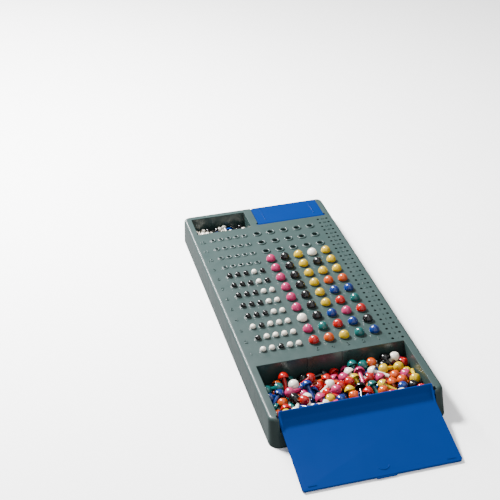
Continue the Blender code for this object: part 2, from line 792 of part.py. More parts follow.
def make_heaps(materials):
    """Loose code pegs in the large bin, loose key pegs and a few stray code pegs in the small one."""
    code_balls = peg_balls(code_shank_radius, code_shank_length, code_head_radius, code_head_height)
    key_balls = peg_balls(key_shank_radius, key_shank_length, key_head_radius, key_head_height)
    code_skin, key_skin = peg_skin(code_peg_outline()), peg_skin(key_peg_outline())
    floor = bin_floor + clearance
    near = lid_pin_y + strip_sweep + clearance
    low = np.array((heap_margin - bin_half, near + heap_margin, floor + heap_margin))
    high = np.array((bin_half - heap_margin, bin_back_y - heap_margin, large_heap_top))
    generator = np.random.default_rng(HEAP_SEED)
    fallen = settled([code_balls] * LARGE_HEAP_PEGS, low, high, LARGE_HEAP_PULL, generator)
    pegs = [(code_skin, turn, spot) for turn, spot in fallen]
    low = (clearance - bin_half, near, floor)
    high = (bin_half - clearance, bin_back_y - clearance, large_heap_top)
    make_heap("loose_code_pegs", low, high, LARGE_HEAP_CELLS, pegs, materials["O"])
    low = np.array((small_left + heap_margin, far_bin_near_y + heap_margin, floor + heap_margin))
    high = np.array((small_right - heap_margin, far_bin_far_y - heap_margin, small_heap_top))
    generator = np.random.default_rng(HEAP_SEED + 1)
    balls = [key_balls] * SMALL_HEAP_PEGS + [code_balls] * STRAY_PEGS
    fallen = settled(balls, low, high, SMALL_HEAP_PULL, generator)
    skins = [key_skin] * SMALL_HEAP_PEGS + [code_skin] * STRAY_PEGS
    pegs = [(skin, turn, spot) for skin, (turn, spot) in zip(skins, fallen)]
    low = (small_left + clearance, far_bin_near_y + clearance, floor)
    high = (small_right - clearance, far_bin_far_y - clearance, small_heap_ceiling)
    make_heap("loose_key_pegs", low, high, SMALL_HEAP_CELLS, pegs, materials["W"])


def main():
    fresh_scene()
    materials = {letter: plastic(name, colour, 0.22) for letter, (name, colour) in COLOURS.items()}
    make_board(plastic("board_plastic", BOARD_COLOUR, 0.45))
    lid_plastic = plastic("lid_plastic", LID_COLOUR, 0.25)
    make_lid(lid_plastic)
    make_shield(lid_plastic)
    make_code_pegs(materials)
    make_key_rows(materials["W"])
    make_secret_code(materials["P"])
    make_heaps(materials)


main()
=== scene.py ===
"""Code breaking peg game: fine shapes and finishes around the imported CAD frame.

Laid out as an add-on. Each group of pieces has its settings, its operator and its place in the sidebar panel.
Metres, +Z up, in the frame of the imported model: +Y points along the board, away from the players' peg bin.
"""

import math

import bmesh
import bpy
import numpy as np
from bpy.props import FloatProperty, FloatVectorProperty, IntProperty, PointerProperty
from bpy.types import Operator, Panel, PropertyGroup
from mathutils import Matrix, Vector
from mathutils.geometry import area_tri, delaunay_2d_cdt, tessellate_polygon


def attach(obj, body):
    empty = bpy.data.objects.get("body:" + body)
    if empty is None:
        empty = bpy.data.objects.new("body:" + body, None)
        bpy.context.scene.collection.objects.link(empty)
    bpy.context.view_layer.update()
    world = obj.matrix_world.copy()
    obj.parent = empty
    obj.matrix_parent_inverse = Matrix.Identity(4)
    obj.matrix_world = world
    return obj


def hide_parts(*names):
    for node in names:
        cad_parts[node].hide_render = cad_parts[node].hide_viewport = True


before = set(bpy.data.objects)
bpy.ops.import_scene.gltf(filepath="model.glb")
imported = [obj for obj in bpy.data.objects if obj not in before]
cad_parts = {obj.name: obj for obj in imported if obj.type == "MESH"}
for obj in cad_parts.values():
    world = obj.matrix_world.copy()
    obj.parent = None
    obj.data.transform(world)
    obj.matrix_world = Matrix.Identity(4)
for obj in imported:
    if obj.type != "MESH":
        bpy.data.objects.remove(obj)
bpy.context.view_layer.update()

bl_info = {
    "name": "Code breaking peg game",
    "version": (1, 0, 0),
    "blender": (4, 5, 0),
    "location": "3D View > Sidebar > Peg game",
    "description": "Builds the pieces and finishes of a code breaking peg game around its packed CAD frame",
    "category": "Add Mesh",
}

# Pegs in the board, row 1 first, and the hidden code: one letter is one peg's colour
CODE_ROWS = ("ROYTB", "PTRBK", "WKBPR", "PKYRT", "PKYBB", "PKYOO", "PKYYY", "PKYKY", "PKYWY")
KEY_ROWS = ("WWKWW", "KWWWW", "WKWWW", "KKKWW", "KKKWW", "KKKWW", "KKKWK", "KKKWK")
SECRET_CODE = "YPKTW"
COLOUR_NAMES = dict(R="red", O="orange", Y="yellow", T="teal", B="blue", P="pink", W="white", K="black")
# Colours of the loose pegs, repeated over each heap, and which pegs of the small heap are stray code pegs
HEAP_COLOURS = list("ROOYTBPWROTBPWKROYTBPWRBK")
SMALL_HEAP_COLOURS = "WWWKK"
STRAYS = (46, 61)

ROWS = 12
COLUMNS = 5
SCORE_ROWS = 30
# Middles of the two ribs on the large bin's back wall
RIB_PLACES = (-0.0152, 0.0098)
# Rounded edge of the pads round the key holes, as shares of the pad's radius cut off and of its height
PAD_EDGE = ((0.0, 0.0), (0.03, 0.6), (0.07, 0.9), (0.12, 1.0))
# How full the ridges of bosses and rings are, from 1 for round
RIDGE_POWER = 0.8
# Shares: a number's bevel and lift of its relief, and how far the row numbers sit below their row
NUMBER_BEVEL = 0.3
NUMBER_LIFT = 0.3
NUMBER_DROP = 0.08
# The straight snap marks' half length and inset, as shares of the curved one's radius
MARK_HALF = 0.65
MARK_INSET = 1.6

# Gap between parts, how far a cutting shape reaches past what it cuts, and the depth of the pins' slots
CLEARANCE = 0.0003
OVERRUN = 0.002
SLOT_DEPTH = 0.0012
# Points that differ by less are level with each other
LEVEL = 1e-6

# Corners of round shapes and steps of arcs
CODE_SIDES = 28
KEY_SIDES = 20
SCORE_SIDES = 16
FILLET_STEPS = 7
RIDGE_STEPS = 8
BARREL_STEPS = 18
LID_FILLET_STEPS = 6
CORNER_STEPS = 5
EDGE_STEPS = 2
CODE_PEG_SIDES = 36
KEY_PEG_SIDES = 24
LOOSE_CODE_SIDES = 24
LOOSE_KEY_SIDES = 20

# Degrees between faces: less than the first is flat, more than the next two is an edge to round on the board
# and on the lids, and more than the last ones is shaded sharp
FLAT_ANGLE = 0.5
CRISP_ANGLE = 50
SHARP_ANGLE = 40
LID_SHADING = 35
BOARD_SHADING = 32
NUMBER_SHADING = 30

# Edges that are shorter or nearer to the table than this stay sharp
SHORT_EDGE = 0.0006
FOOT_HEIGHT = 0.001
# A face keeps its usual split if it has more corners, or if the split covers no more than this past its area
MOST_CORNERS = 40
AREA_SHARE = 1.001
AREA_SPECK = 1e-8

# A loose peg falls as a chain of balls: shares of its head's and shank's radius, and the number on the shank
HEAD_BALL = 0.95
SHANK_BALL = 1.05
SHANK_BALLS = 4
# The fall's spacing, furthest contact, step, top pace, drag and passes
FALL_PITCH = 0.0095
FALL_REACH = 0.022
FALL_STEP = 0.00012
FALL_PACE = 0.0012
FALL_DRAG = 0.85
FALL_PASSES = 4
# Shares of the fall: how high the first pegs start, how long their ceiling comes down, how far they scatter
FIRST_RISE = 0.6
LOWERING = 0.6
SCATTER = 0.12
# Digits that a setting holds for sure, and a length that stands in for none
DIGITS = 7
TINY = 1e-9

# How far the mottling goes to each side of a colour, and how high swell and grain are at full strength
PLATE_TONE = 0.07
PEG_TONE = 0.08
PAPER_TONE = 0.015
SWELL_HEIGHT = 0.0004
GRAIN_HEIGHT = 0.00004

# Lights: size, place and aim. The strip light's long side also has a direction.
MIDDLE = (0.0, 0.0, 0.0)
STRIP_AIM = (-0.055, 0.02, 0.02)
LIGHTS = {
    "key_light": ((0.14, 0.14), (-0.31, 0.37, 0.60), MIDDLE),
    "fill_light": ((2.2, 1.4), (0.2, -1.2, 0.75), MIDDLE),
    "top_light": ((0.6, 0.6), (0.1, -0.15, 0.9), MIDDLE),
    "strip_light": ((0.40, 0.06), (-0.36, 0.80, 0.44), STRIP_AIM),
}
STRIP_WAY = (0.10, 0.13, -0.13)
# The camera's place, and its right, down and forward directions
CAMERA_PLACE = (-0.2007067, -0.6579915, 0.4877131)
CAMERA_ROWS = (
    (0.9680306907, -0.2495596865, -0.0252298377),
    (-0.1502068873, -0.4961954083, -0.8551187098),
    (0.2008842275, 0.8315708506, -0.5178179676),
)
SENSOR_WIDTH = 36.0
CLIP = (0.05, 20.0)
FLOOR_SIZE = 4.0
FLOOR_DROP = 0.0001


def length(label, text, value):
    """A length setting in metres."""
    return FloatProperty(name=label, description=text, default=value, unit="LENGTH", precision=5)


def angle(label, text, value):
    """An angle setting in radians."""
    return FloatProperty(name=label, description=text, default=value, subtype="ANGLE")


def share(label, text, value):
    """A setting between nought and one."""
    return FloatProperty(name=label, description=text, default=value, min=0.0, max=1.0)


def number(label, text, value, unit="NONE"):
    """A plain number's setting, with its unit if it has one."""
    return FloatProperty(name=label, description=text, default=value, unit=unit)


def count(label, text, value):
    """A whole number of at least one."""
    return IntProperty(name=label, description=text, default=value, min=1)


def direction(label, text, value):
    """A direction setting."""
    return FloatVectorProperty(name=label, description=text, default=value, subtype="DIRECTION", size=3)


def colour(label, value):
    """A scene-linear colour setting."""
    text = f"Colour of {label.lower()}"
    return FloatVectorProperty(name=label, description=text, default=value, subtype="COLOR", min=0.0, max=1.0)


class BoardSettings(PropertyGroup):
    """Sizes of the one-piece moulding."""

    width: length("Width", "Width of the deck", 0.11824)
    length: length("Length", "Length of the deck", 0.2705)
    height: length("Height", "Height of the deck above the table", 0.0196)
    front_y: length("Front edge", "Where the deck's front edge lies", -0.110747)
    front_slope: angle("Front slope", "Lean of the front wall", math.radians(16.5))
    side_flare: length("Side flare", "How far each side wall leans out at the table", 0.0009)
    far_flare: length("Far flare", "How far the far wall leans out at the table", 0.0012)
    corner_radius: length("Corner radius", "Radius of the upright corners at the deck", 0.005)
    front_growth: length("Front corner growth", "Extra radius of the front corners at the table", 0.002)
    far_growth: length("Far corner growth", "Extra radius of the far corners at the table", 0.002)
    fillet: length("Top fillet", "Rounding between the walls and the deck", 0.0022)
    wall: length("Wall", "Thickness of the outer walls", 0.002)
    deck: length("Deck", "Thickness of the deck and of the recess's floor", 0.002)
    bin_floor: length("Bin floor", "Thickness under the bins", 0.0016)
    edge: length("Edge rounding", "Rounding of the edges of bins and recess", 0.00035)
    cheek: length("Cheek", "Width beside the large bin", 0.0063)
    far_cheek: length("Far cheek", "Width beside the small bin and the recess", 0.0057)
    divider: length("Divider", "Width between the small bin and the recess", 0.0070)
    small_share: share("Small bin share", "Share of the far room that the small bin takes", 0.445)
    bin_reach: length("Bin reach", "Length of the large bin from the front edge", 0.0570)
    far_near: length("Small bin near edge", "Near edge of the small bin", 0.128753)
    far_bin: length("Small bin length", "Length of the small bin", 0.0251)
    recess_depth: length("Recess depth", "Depth of the recess for the secret code", 0.0081)
    rib_width: length("Rib width", "Width of the upright ribs on the bin's back wall", 0.0034)
    rib_depth: length("Rib depth", "How far those ribs stand out", 0.00045)


class HoleSettings(PropertyGroup):
    """Places and sizes of the holes, bosses and numbers on the deck."""

    row_pitch: length("Row pitch", "Distance between rows", 0.014)
    first_row_y: length("First row", "Where row 1 lies", -0.037947)
    code_x: length("First code hole", "Where the first code column lies", -0.00742)
    code_pitch: length("Code pitch", "Distance between code holes", 0.01106)
    key_x: length("First key hole", "Where the first key column lies", -0.04372)
    key_pitch: length("Key pitch", "Distance between key holes", 0.0064)
    score_x: length("Score track", "Where the first track column lies", 0.04632)
    score_gap: length("Track gap", "Distance between the track's columns", 0.0073)
    score_y: length("Track end", "Where the track's last hole lies", 0.124653)
    score_pitch: length("Track pitch", "Distance between the track's holes", 0.0060)
    boss_radius: length("Boss radius", "Foot radius of a code hole's boss", 0.00365)
    boss_height: length("Boss height", "Height of a code hole's boss", 0.0008)
    counterbore: length("Counterbore", "Radius of the wide top of a code hole", 0.0021)
    counterbore_depth: length("Counterbore depth", "Depth of that wide top below the deck", 0.0016)
    code_hole: length("Code hole", "Radius of a code hole", 0.00176)
    pad_radius: length("Pad radius", "Radius of the ends of the pad round the key holes", 0.00295)
    pad_height: length("Pad height", "Height of that pad", 0.00014)
    ring_radius: length("Ring radius", "Foot radius of a key hole's ring", 0.0026)
    ring_height: length("Ring height", "Height of a key hole's ring above the deck", 0.0007)
    key_hole: length("Key hole", "Radius of a key hole", 0.00108)
    score_hole: length("Score hole", "Radius of a track hole", 0.00105)
    row_number: length("Row number size", "Height of the row numbers' type", 0.0050)
    row_number_x: length("Row number place", "Where the row numbers lie", -0.0525)
    column_number: length("Column number size", "Height of the column numbers' type", 0.0050)
    column_number_y: length("Column number place", "Where the column numbers lie", -0.0467)
    score_number: length("Score number size", "Height of the track numbers' type", 0.0026)
    number_height: length("Number relief", "How far the numbers stand out", 0.0004)


class LidSettings(PropertyGroup):
    """Sizes of the storage lid, drawn closed about its hinge pins."""

    pin_y: length("Pin place", "Where the hinge pins lie along the board", -0.108647)
    pin_z: length("Pin height", "Height of the hinge pins", 0.0161)
    pin_setback: length("Pin setback", "From the front edge to the pins", 0.0021)
    pin_depth: length("Pin depth", "From the plate's top to the pins", 0.0035)
    pin_radius: length("Pin radius", "Radius of the pins", 0.0011)
    pin_reach: length("Pin reach", "Where the pins end, from the middle", 0.05372)
    open_angle: angle("Open angle", "Turn from closed to resting on the table", 3.377502)
    half: length("Half width", "Half the width of the plate", 0.05202)
    reach: length("Reach", "From the pins to the plate's tip", 0.0533)
    thickness: length("Thickness", "Thickness of the plate", 0.0016)
    strip_height: length("Strip height", "Height of the front strip under the plate", 0.0063)
    strip_thickness: length("Strip thickness", "Thickness of the front strip", 0.0014)
    gusset: length("Gusset length", "Length of the end gussets along the plate", 0.0081)
    gusset_thickness: length("Gusset thickness", "Thickness of the end gussets", 0.0012)
    tab_width: length("Tab width", "Width of the finger tab", 0.0130)
    tab_offset: length("Tab place", "Middle of the finger tab", 0.0020)
    tab_reach: length("Tab reach", "How far the finger tab stands out", 0.0010)
    tab_step: length("Tab step", "How much thinner than the plate the finger tab is, on each face", 0.0002)
    fillet: length("Fillet", "Rounding between the strip and the plate", 0.0018)
    mark_radius: length("Mark radius", "Radius of the curved snap mark by the tab", 0.0042)
    mark_width: length("Mark width", "Width of the snap marks", 0.0008)
    mark_height: length("Mark height", "Height of the snap marks", 0.0004)
    mark_sweep: angle("Mark sweep", "Where the curved mark starts", 0.35)
    corner: length("Corner", "Radius of the plate's corners", 0.0015)
    edge: length("Edge rounding", "Rounding of the lid's edges", 0.00025)


class ShieldSettings(PropertyGroup):
    """Sizes of the code shield, drawn closed about its hinge pins."""

    pin_y: length("Pin place", "Where the hinge pins lie along the board", 0.132253)
    pin_z: length("Pin height", "Height of the hinge pins", 0.0179)
    barrel: length("Barrel", "Radius of the rolled near edge", 0.0017)
    pin_radius: length("Pin radius", "Radius of the pins", 0.0010)
    pin_reach: length("Pin reach", "How far the pins stand out", 0.0013)
    side_gap: length("Side gap", "Gap beside the plate", 0.0004)
    reach: length("Reach", "From the pins to the plate's far edge", 0.0258)
    thickness: length("Thickness", "Thickness of the plate", 0.0016)
    rib_inset: length("Rib inset", "From the plate's side to its raised rib", 0.0070)
    rib_gap: length("Rib end gap", "From the plate's ends to the rib's ends", 0.0040)
    rib_width: length("Rib width", "Width of the raised ribs", 0.0009)
    rib_height: length("Rib height", "Height of the raised ribs", 0.0003)
    edge: length("Edge rounding", "Rounding of the shield's edges", 0.00025)


class PegSettings(PropertyGroup):
    """Sizes and colours of the pegs."""

    code_radius: length("Code head radius", "Radius of a code peg's head", 0.0037)
    code_height: length("Code head height", "Height of a code peg's head", 0.0044)
    code_shank: length("Code shank radius", "Radius of a code peg's shank", 0.0014)
    code_length: length("Code shank length", "Length of a code peg's shank", 0.0110)
    point: number("Point", "How pointed a code peg's crown is, from 1 for round", 1.3)
    key_radius: length("Key head radius", "Radius of a key peg's head", 0.0021)
    key_height: length("Key head height", "Height of a key peg's head", 0.0025)
    key_shank: length("Key shank radius", "Radius of a key peg's shank", 0.00075)
    key_length: length("Key shank length", "Length of a key peg's shank", 0.0085)
    code_seat: length("Code seat", "Height at which a code peg's head sits", 0.02045)
    key_seat: length("Key seat", "Height at which a key peg's head sits", 0.02035)
    secret_seat: length("Secret seat", "Height at which a hidden peg's head sits", 0.0118)
    red: colour("Red", (0.26, 0.0, 0.0))
    orange: colour("Orange", (0.34, 0.040, 0.0))
    yellow: colour("Yellow", (0.38, 0.25, 0.0))
    teal: colour("Teal", (0.0, 0.060, 0.056))
    blue: colour("Blue", (0.0, 0.014, 0.105))
    pink: colour("Pink", (0.30, 0.014, 0.075))
    white: colour("White", (0.60, 0.57, 0.50))
    black: colour("Black", (0.0012, 0.0012, 0.0014))
    gloss: share("Roughness", "Roughness of the pegs' plastic", 0.17)


class HeapSettings(PropertyGroup):
    """How many loose pegs lie in the bins, and how they are dropped there."""

    code_count: count("Code pegs", "Loose code pegs in the large bin", 118)
    key_count: count("Key pegs", "Loose key pegs in the small bin", 73)
    steps: count("Steps", "Steps of the settling", 90)
    code_pull: direction("Large heap pull", "Way that the code pegs fall", (0.10, -0.18, -1.0))
    key_pull: direction("Small heap pull", "Way that the key pegs fall", (0.0, 0.05, -1.0))
    seed: count("Seed", "Seed of the drop", 7)
    code_top: length("Large heap top", "Highest point of the large heap", 0.0149)
    key_top: length("Small heap top", "Highest point of the small heap", 0.0112)
    margin: length("Margin", "Gap between the heaps and the bins' walls", 0.0006)


class StageSettings(PropertyGroup):
    """Camera, light and floor."""

    focal: number("Focal length", "Focal length in millimetres", 82.86, "CAMERA")
    key_light: number("Key light", "Power of the small bright light behind, in watts", 31.0, "POWER")
    top_light: number("Top light", "Power of the light above, in watts", 3.0, "POWER")
    strip_light: number("Strip light", "Power of the narrow light behind, in watts", 14.0, "POWER")
    fill_light: number("Fill light", "Power of the large soft light in front, in watts", 11.0, "POWER")
    sky: number("Sky", "Strength of the pale surroundings", 0.45)
    floor: colour("Floor", (0.97, 0.97, 0.97))
    bounce: colour("Floor bounce", (0.12, 0.12, 0.12))
    board: colour("Board plastic", (0.0155, 0.0303, 0.0288))
    lid: colour("Lid plastic", (0.0, 0.0095, 0.066))
    # Painted glow of the lid's plastic: emitted blue light that lightens its shaded faces
    lid_glow: colour("Lid glow", (0.0, 0.024, 0.125))


# Small helpers for meshes and objects


def link(item):
    """Puts an object in the scene."""
    bpy.context.scene.collection.objects.link(item)
    return item


def shaded(mesh, materials, sharpest=LID_SHADING):
    """Smooth shading up to an angle in degrees, with the given materials."""
    mesh.shade_smooth()
    mesh.set_sharp_from_angle(angle=math.radians(sharpest))
    for material in materials:
        mesh.materials.append(material)
    return mesh


def from_bmesh(name, shape, turn_out=True):
    """Turns a bmesh into a mesh. Its faces are turned to point out, unless they do already."""
    if turn_out:
        bmesh.ops.recalc_face_normals(shape, faces=shape.faces)
    mesh = bpy.data.meshes.new(name)
    shape.to_mesh(mesh)
    shape.free()
    return mesh


def evaluated_mesh(item, *spare):
    """The mesh that an object shows. The object goes, and so do the spare ones."""
    bpy.context.view_layer.update()
    mesh = bpy.data.meshes.new_from_object(item.evaluated_get(bpy.context.evaluated_depsgraph_get()))
    for thing in (item, *spare):
        bpy.data.objects.remove(thing, do_unlink=True)
    return mesh


def piece(name, mesh, body, nodes, location=(0.0, 0.0, 0.0)):
    """Shows a mesh as a piece that rides on a body and stands for CAD nodes."""
    item = link(bpy.data.objects.new(name, mesh))
    item.location = location
    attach(item, body)
    if nodes:
        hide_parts(*nodes)
    return item


def moulding(name, mesh, body, node, location=(0.0, 0.0, 0.0)):
    """Shows a mesh as a piece whose large faces are shaded flat."""
    item = piece(name, mesh, body, [node], location)
    item.modifiers.new("flat_faces", "WEIGHTED_NORMAL").keep_sharp = True


def circle(sides):
    """Cosine and sine of each corner of a circle."""
    turns = [math.tau * i / sides for i in range(sides)]
    return [(math.cos(turn), math.sin(turn)) for turn in turns]


def sweep(start, end, steps):
    """Values from a start to an end in even steps, both included."""
    return [start + (end - start) * step / steps for step in range(steps + 1)]


def add_box(shape, low, high):
    """Adds a box between two corners."""
    made = bmesh.ops.create_cube(shape, size=1.0)
    for vert in made["verts"]:
        vert.co = Vector(l + (h - l) * (c + 0.5) for l, h, c in zip(low, high, vert.co))


def bridge(shape, lower, upper):
    """Faces between two rings."""
    for i in range(len(lower)):
        j = (i + 1) % len(lower)
        shape.faces.new((lower[i], lower[j], upper[j], upper[i]))


def add_loft(shape, rings):
    """Joins rings of points into a closed solid."""
    levels = [[shape.verts.new(point) for point in ring] for ring in rings]
    for lower, upper in zip(levels, levels[1:]):
        bridge(shape, lower, upper)
    shape.faces.new(reversed(levels[0]))
    shape.faces.new(levels[-1])


def add_bar(shape, outline, start_x, end_x):
    """Adds a bar along X with an outline of (y, z) points."""
    add_loft(shape, [[(x, y, z) for y, z in outline] for x in (start_x, end_x)])


def add_pin(shape, start_x, end_x, radius, sides=20):
    """Adds a hinge pin along X through the origin, with chamfered ends."""
    chamfer = radius * 0.25
    inward = math.copysign(chamfer, end_x - start_x)
    thin = radius - chamfer
    levels = ((start_x, thin), (start_x + inward, radius), (end_x - inward, radius), (end_x, thin))
    add_loft(shape, [[(x, r * c, r * s) for c, s in circle(sides)] for x, r in levels])


def carved(base, steps):
    """Applies (operation, mesh) steps to a mesh with exact Booleans, and returns the outcome."""
    item = link(bpy.data.objects.new("carving", base))
    tools = []
    for operation, mesh in steps:
        tool = link(bpy.data.objects.new("tool", mesh))
        modifier = item.modifiers.new("carve", "BOOLEAN")
        modifier.operation = operation
        modifier.solver = "EXACT"
        modifier.object = tool
        tools.append(tool)
    return evaluated_mesh(item, *tools)


def rounded(mesh, offset, segments, wanted):
    """Bevels the edges of a mesh that a test picks, with faces in one plane joined first. Returns a bmesh."""
    shape = bmesh.new()
    shape.from_mesh(mesh)
    flat = math.radians(FLAT_ANGLE)
    bmesh.ops.dissolve_limit(shape, angle_limit=flat, verts=shape.verts, edges=shape.edges)
    edges = [e for e in shape.edges if len(e.link_faces) == 2 and wanted(e)]
    bmesh.ops.bevel(
        shape, geom=edges, offset=offset, segments=segments, profile=0.5, affect="EDGES", clamp_overlap=False
    )
    for face in list(shape.faces):
        cover_tightly(shape, face)
    return shape


def cover_tightly(shape, face):
    """Splits a face into the triangles of least area if the usual split would reach past its outline."""
    corners = list(face.verts)
    places = [corner.co for corner in corners]
    if not 4 < len(places) <= MOST_CORNERS:
        return
    usual = sum(area_tri(*(places[i] for i in three)) for three in tessellate_polygon([places]))
    if usual < face.calc_area() * AREA_SHARE + AREA_SPECK:
        return
    best = {(i, i + 1): (0.0, None) for i in range(len(places) - 1)}
    for span in range(2, len(places)):
        for i in range(len(places) - span):
            j = i + span
            best[i, j] = min(
                (best[i, k][0] + best[k, j][0] + area_tri(places[i], places[k], places[j]), k)
                for k in range(i + 1, j)
            )
    waiting = [(0, len(places) - 1)]
    bmesh.ops.delete(shape, geom=[face], context="FACES_ONLY")
    while waiting:
        i, j = waiting.pop()
        k = best[i, j][1]
        if k is not None:
            shape.faces.new((corners[i], corners[k], corners[j]))
            waiting += [(i, k), (k, j)]


def lathe(profile, sides):
    """Points and faces of a turned shape. Its profile of (radius, height) starts and ends on the axis."""
    points, rings, faces = [], [], []
    for radius, z in profile:
        first = len(points)
        if radius:
            points += [(radius * c, radius * s, z) for c, s in circle(sides)]
            rings.append(list(range(first, first + sides)))
        else:
            points.append((0.0, 0.0, z))
            rings.append([first] * sides)
    for lower, upper in zip(rings, rings[1:]):
        for i in range(sides):
            j = (i + 1) % sides
            corners = (lower[i], lower[j], upper[j], upper[i])
            faces.append([corners[k] for k in range(4) if corners[k] != corners[k - 1]])
    return np.array(points), faces


def copies(name, points, faces, matrices, material):
    """One mesh with a copy of a shape at each place."""
    moved = [points @ m[:3, :3].T + m[:3, 3] for m in matrices]
    size = len(points)
    joined = [[i + k * size for i in face] for k in range(len(matrices)) for face in faces]
    mesh = bpy.data.meshes.new(name)
    mesh.from_pydata(np.concatenate(moved).tolist(), [], joined)
    mesh.validate()
    return shaded(mesh, [material])


def at(x, y, z):
    """The matrix of an upright place."""
    place = np.eye(4)
    place[:3, 3] = (x, y, z)
    return place


# Materials


def noise(tree, vector, scale, detail, rough=0.5):
    """A noise node's value."""
    node = tree.nodes.new("ShaderNodeTexNoise")
    node.inputs["Detail"].default_value = detail
    node.inputs["Roughness"].default_value = rough
    tree.links.new(vector, node.inputs["Vector"])
    tree.links.new(scale, node.inputs["Scale"])
    return node.outputs["Fac"]


def bump(tree, height, strength, distance, normal=None):
    """A bump node's normal, on top of another one's if given."""
    node = tree.nodes.new("ShaderNodeBump")
    tree.links.new(height, node.inputs["Height"])
    tree.links.new(strength, node.inputs["Strength"])
    node.inputs["Distance"].default_value = distance
    if normal:
        tree.links.new(normal, node.inputs["Normal"])
    return node.outputs["Normal"]


# Numbers that the shared surface takes
SURFACE_NUMBERS = ("Mottle Scale", "Smudge Scale", "Roughness Low", "Roughness High")
SURFACE_NUMBERS += ("Swell Scale", "Swell", "Grain Scale", "Grain")


def surface_values(mottle, smudge, roughness, swell, grain):
    """Those numbers by name. Roughness has a low and a high one, swell and grain a scale and a strength."""
    return dict(zip(SURFACE_NUMBERS, (mottle, smudge, *roughness, *swell, *grain)))


def plate_surface(roughness, swell, grain):
    """Those numbers for the large mouldings, whose marks are all of one scale."""
    return surface_values(42.0, 90.0, roughness, swell=(22.0, swell), grain=(2600.0, grain))


def moulded_group():
    """The surface that every material shares: mottled colour, smudged gloss, slow swell and fine grain."""
    found = bpy.data.node_groups.get("moulded_surface")
    if found:
        return found
    tree = bpy.data.node_groups.new("moulded_surface", "ShaderNodeTree")
    taken = {"Vector": "Vector", "Dark Tone": "Color", "Light Tone": "Color"}
    taken |= dict.fromkeys(SURFACE_NUMBERS, "Float")
    for name, kind in taken.items():
        tree.interface.new_socket(name, in_out="INPUT", socket_type="NodeSocket" + kind)
    for name, kind in {"Color": "Color", "Roughness": "Float", "Normal": "Vector"}.items():
        tree.interface.new_socket(name, in_out="OUTPUT", socket_type="NodeSocket" + kind)
    given, result = tree.nodes.new("NodeGroupInput").outputs, tree.nodes.new("NodeGroupOutput").inputs
    place, join = given["Vector"], tree.links.new
    tones = tree.nodes.new("ShaderNodeMix")
    tones.data_type = "RGBA"
    join(noise(tree, place, given["Mottle Scale"], 4.0), tones.inputs["Factor"])
    join(given["Dark Tone"], tones.inputs["A"])
    join(given["Light Tone"], tones.inputs["B"])
    join(tones.outputs["Result"], result["Color"])
    spread = tree.nodes.new("ShaderNodeMapRange")
    spread.inputs["From Min"].default_value = 0.3
    spread.inputs["From Max"].default_value = 0.7
    join(noise(tree, place, given["Smudge Scale"], 5.0, 0.6), spread.inputs["Value"])
    join(given["Roughness Low"], spread.inputs["To Min"])
    join(given["Roughness High"], spread.inputs["To Max"])
    join(spread.outputs["Result"], result["Roughness"])
    swell = bump(tree, noise(tree, place, given["Swell Scale"], 1.0), given["Swell"], SWELL_HEIGHT)
    grain = bump(tree, noise(tree, place, given["Grain Scale"], 3.0), given["Grain"], GRAIN_HEIGHT, swell)
    join(grain, result["Normal"])
    return tree


def scaled(rgb, factor):
    """A colour made lighter or darker."""
    return tuple(min(1.0, c * factor) for c in rgb)


def moulded(name, rgb, tone, surface, finish):
    """A material: the shared surface with its own values, and plain values for the shader itself."""
    material = bpy.data.materials.get(name)
    if material:
        return material
    material = bpy.data.materials.new(name)
    material.use_nodes = True
    tree = material.node_tree
    shader = tree.nodes["Principled BSDF"]
    group = tree.nodes.new("ShaderNodeGroup")
    group.node_tree = moulded_group()
    tree.links.new(tree.nodes.new("ShaderNodeTexCoord").outputs["Object"], group.inputs["Vector"])
    group.inputs["Dark Tone"].default_value = (*scaled(rgb, 1 - tone), 1.0)
    group.inputs["Light Tone"].default_value = (*scaled(rgb, 1 + tone), 1.0)
    for node, values in ((group, surface), (shader, finish)):
        for socket, value in values.items():
            node.inputs[socket].default_value = value
    for made, socket in (("Color", "Base Color"), ("Roughness", "Roughness"), ("Normal", "Normal")):
        tree.links.new(group.outputs[made], shader.inputs[socket])
    return material


def settings():
    """The scene's settings, one group for each kind of piece."""
    return bpy.context.scene.peg_game


def board_materials():
    """The board's grained outer plastic and the smoother plastic inside its bins."""
    rgb = settings().stage.board
    satin = {"IOR": 1.49, "Specular IOR Level": 0.25, "Coat Weight": 0.22, "Coat Roughness": 0.16}
    grained = plate_surface(roughness=(0.40, 0.54), swell=0.3, grain=0.35)
    smooth = plate_surface(roughness=(0.24, 0.36), swell=0.3, grain=0.1)
    return (
        moulded("board_grained", rgb, PLATE_TONE, grained, satin),
        moulded("board_smooth", scaled(rgb, 1.1), PLATE_TONE, smooth, {"IOR": 1.49}),
    )


def peg_material(letter):
    """The plastic of one colour of peg."""
    name, pegs = COLOUR_NAMES[letter], settings().pegs
    gloss = (pegs.gloss * 0.75, pegs.gloss * 1.5)
    surface = surface_values(160.0, 420.0, gloss, swell=(120.0, 0.03), grain=(1500.0, 0.02))
    finish = {"IOR": 1.5, "Subsurface Weight": 0.05, "Subsurface Scale": 0.001}
    finish["Subsurface Radius"] = (0.8, 0.6, 0.5)
    return moulded("peg_gloss_" + name, getattr(pegs, name), PEG_TONE, surface, finish)


def lid_material():
    """The blue plastic of the lid and the shield. A weak painted glow, given off by the plastic itself,
    stands for the light that passes through it and lightens its shaded faces.
    """
    stage = settings().stage
    finish = {"IOR": 1.49, "Specular IOR Level": 0.04, "Emission Strength": 1.0}
    # The emission paints a weak blue glow into the plastic, which lightens its shaded faces
    finish["Emission Color"] = (*stage.lid_glow, 1.0)
    surface = plate_surface(roughness=(0.42, 0.52), swell=0.1, grain=0.05)
    return moulded("lid_gloss", stage.lid, PLATE_TONE, surface, finish)


# The board


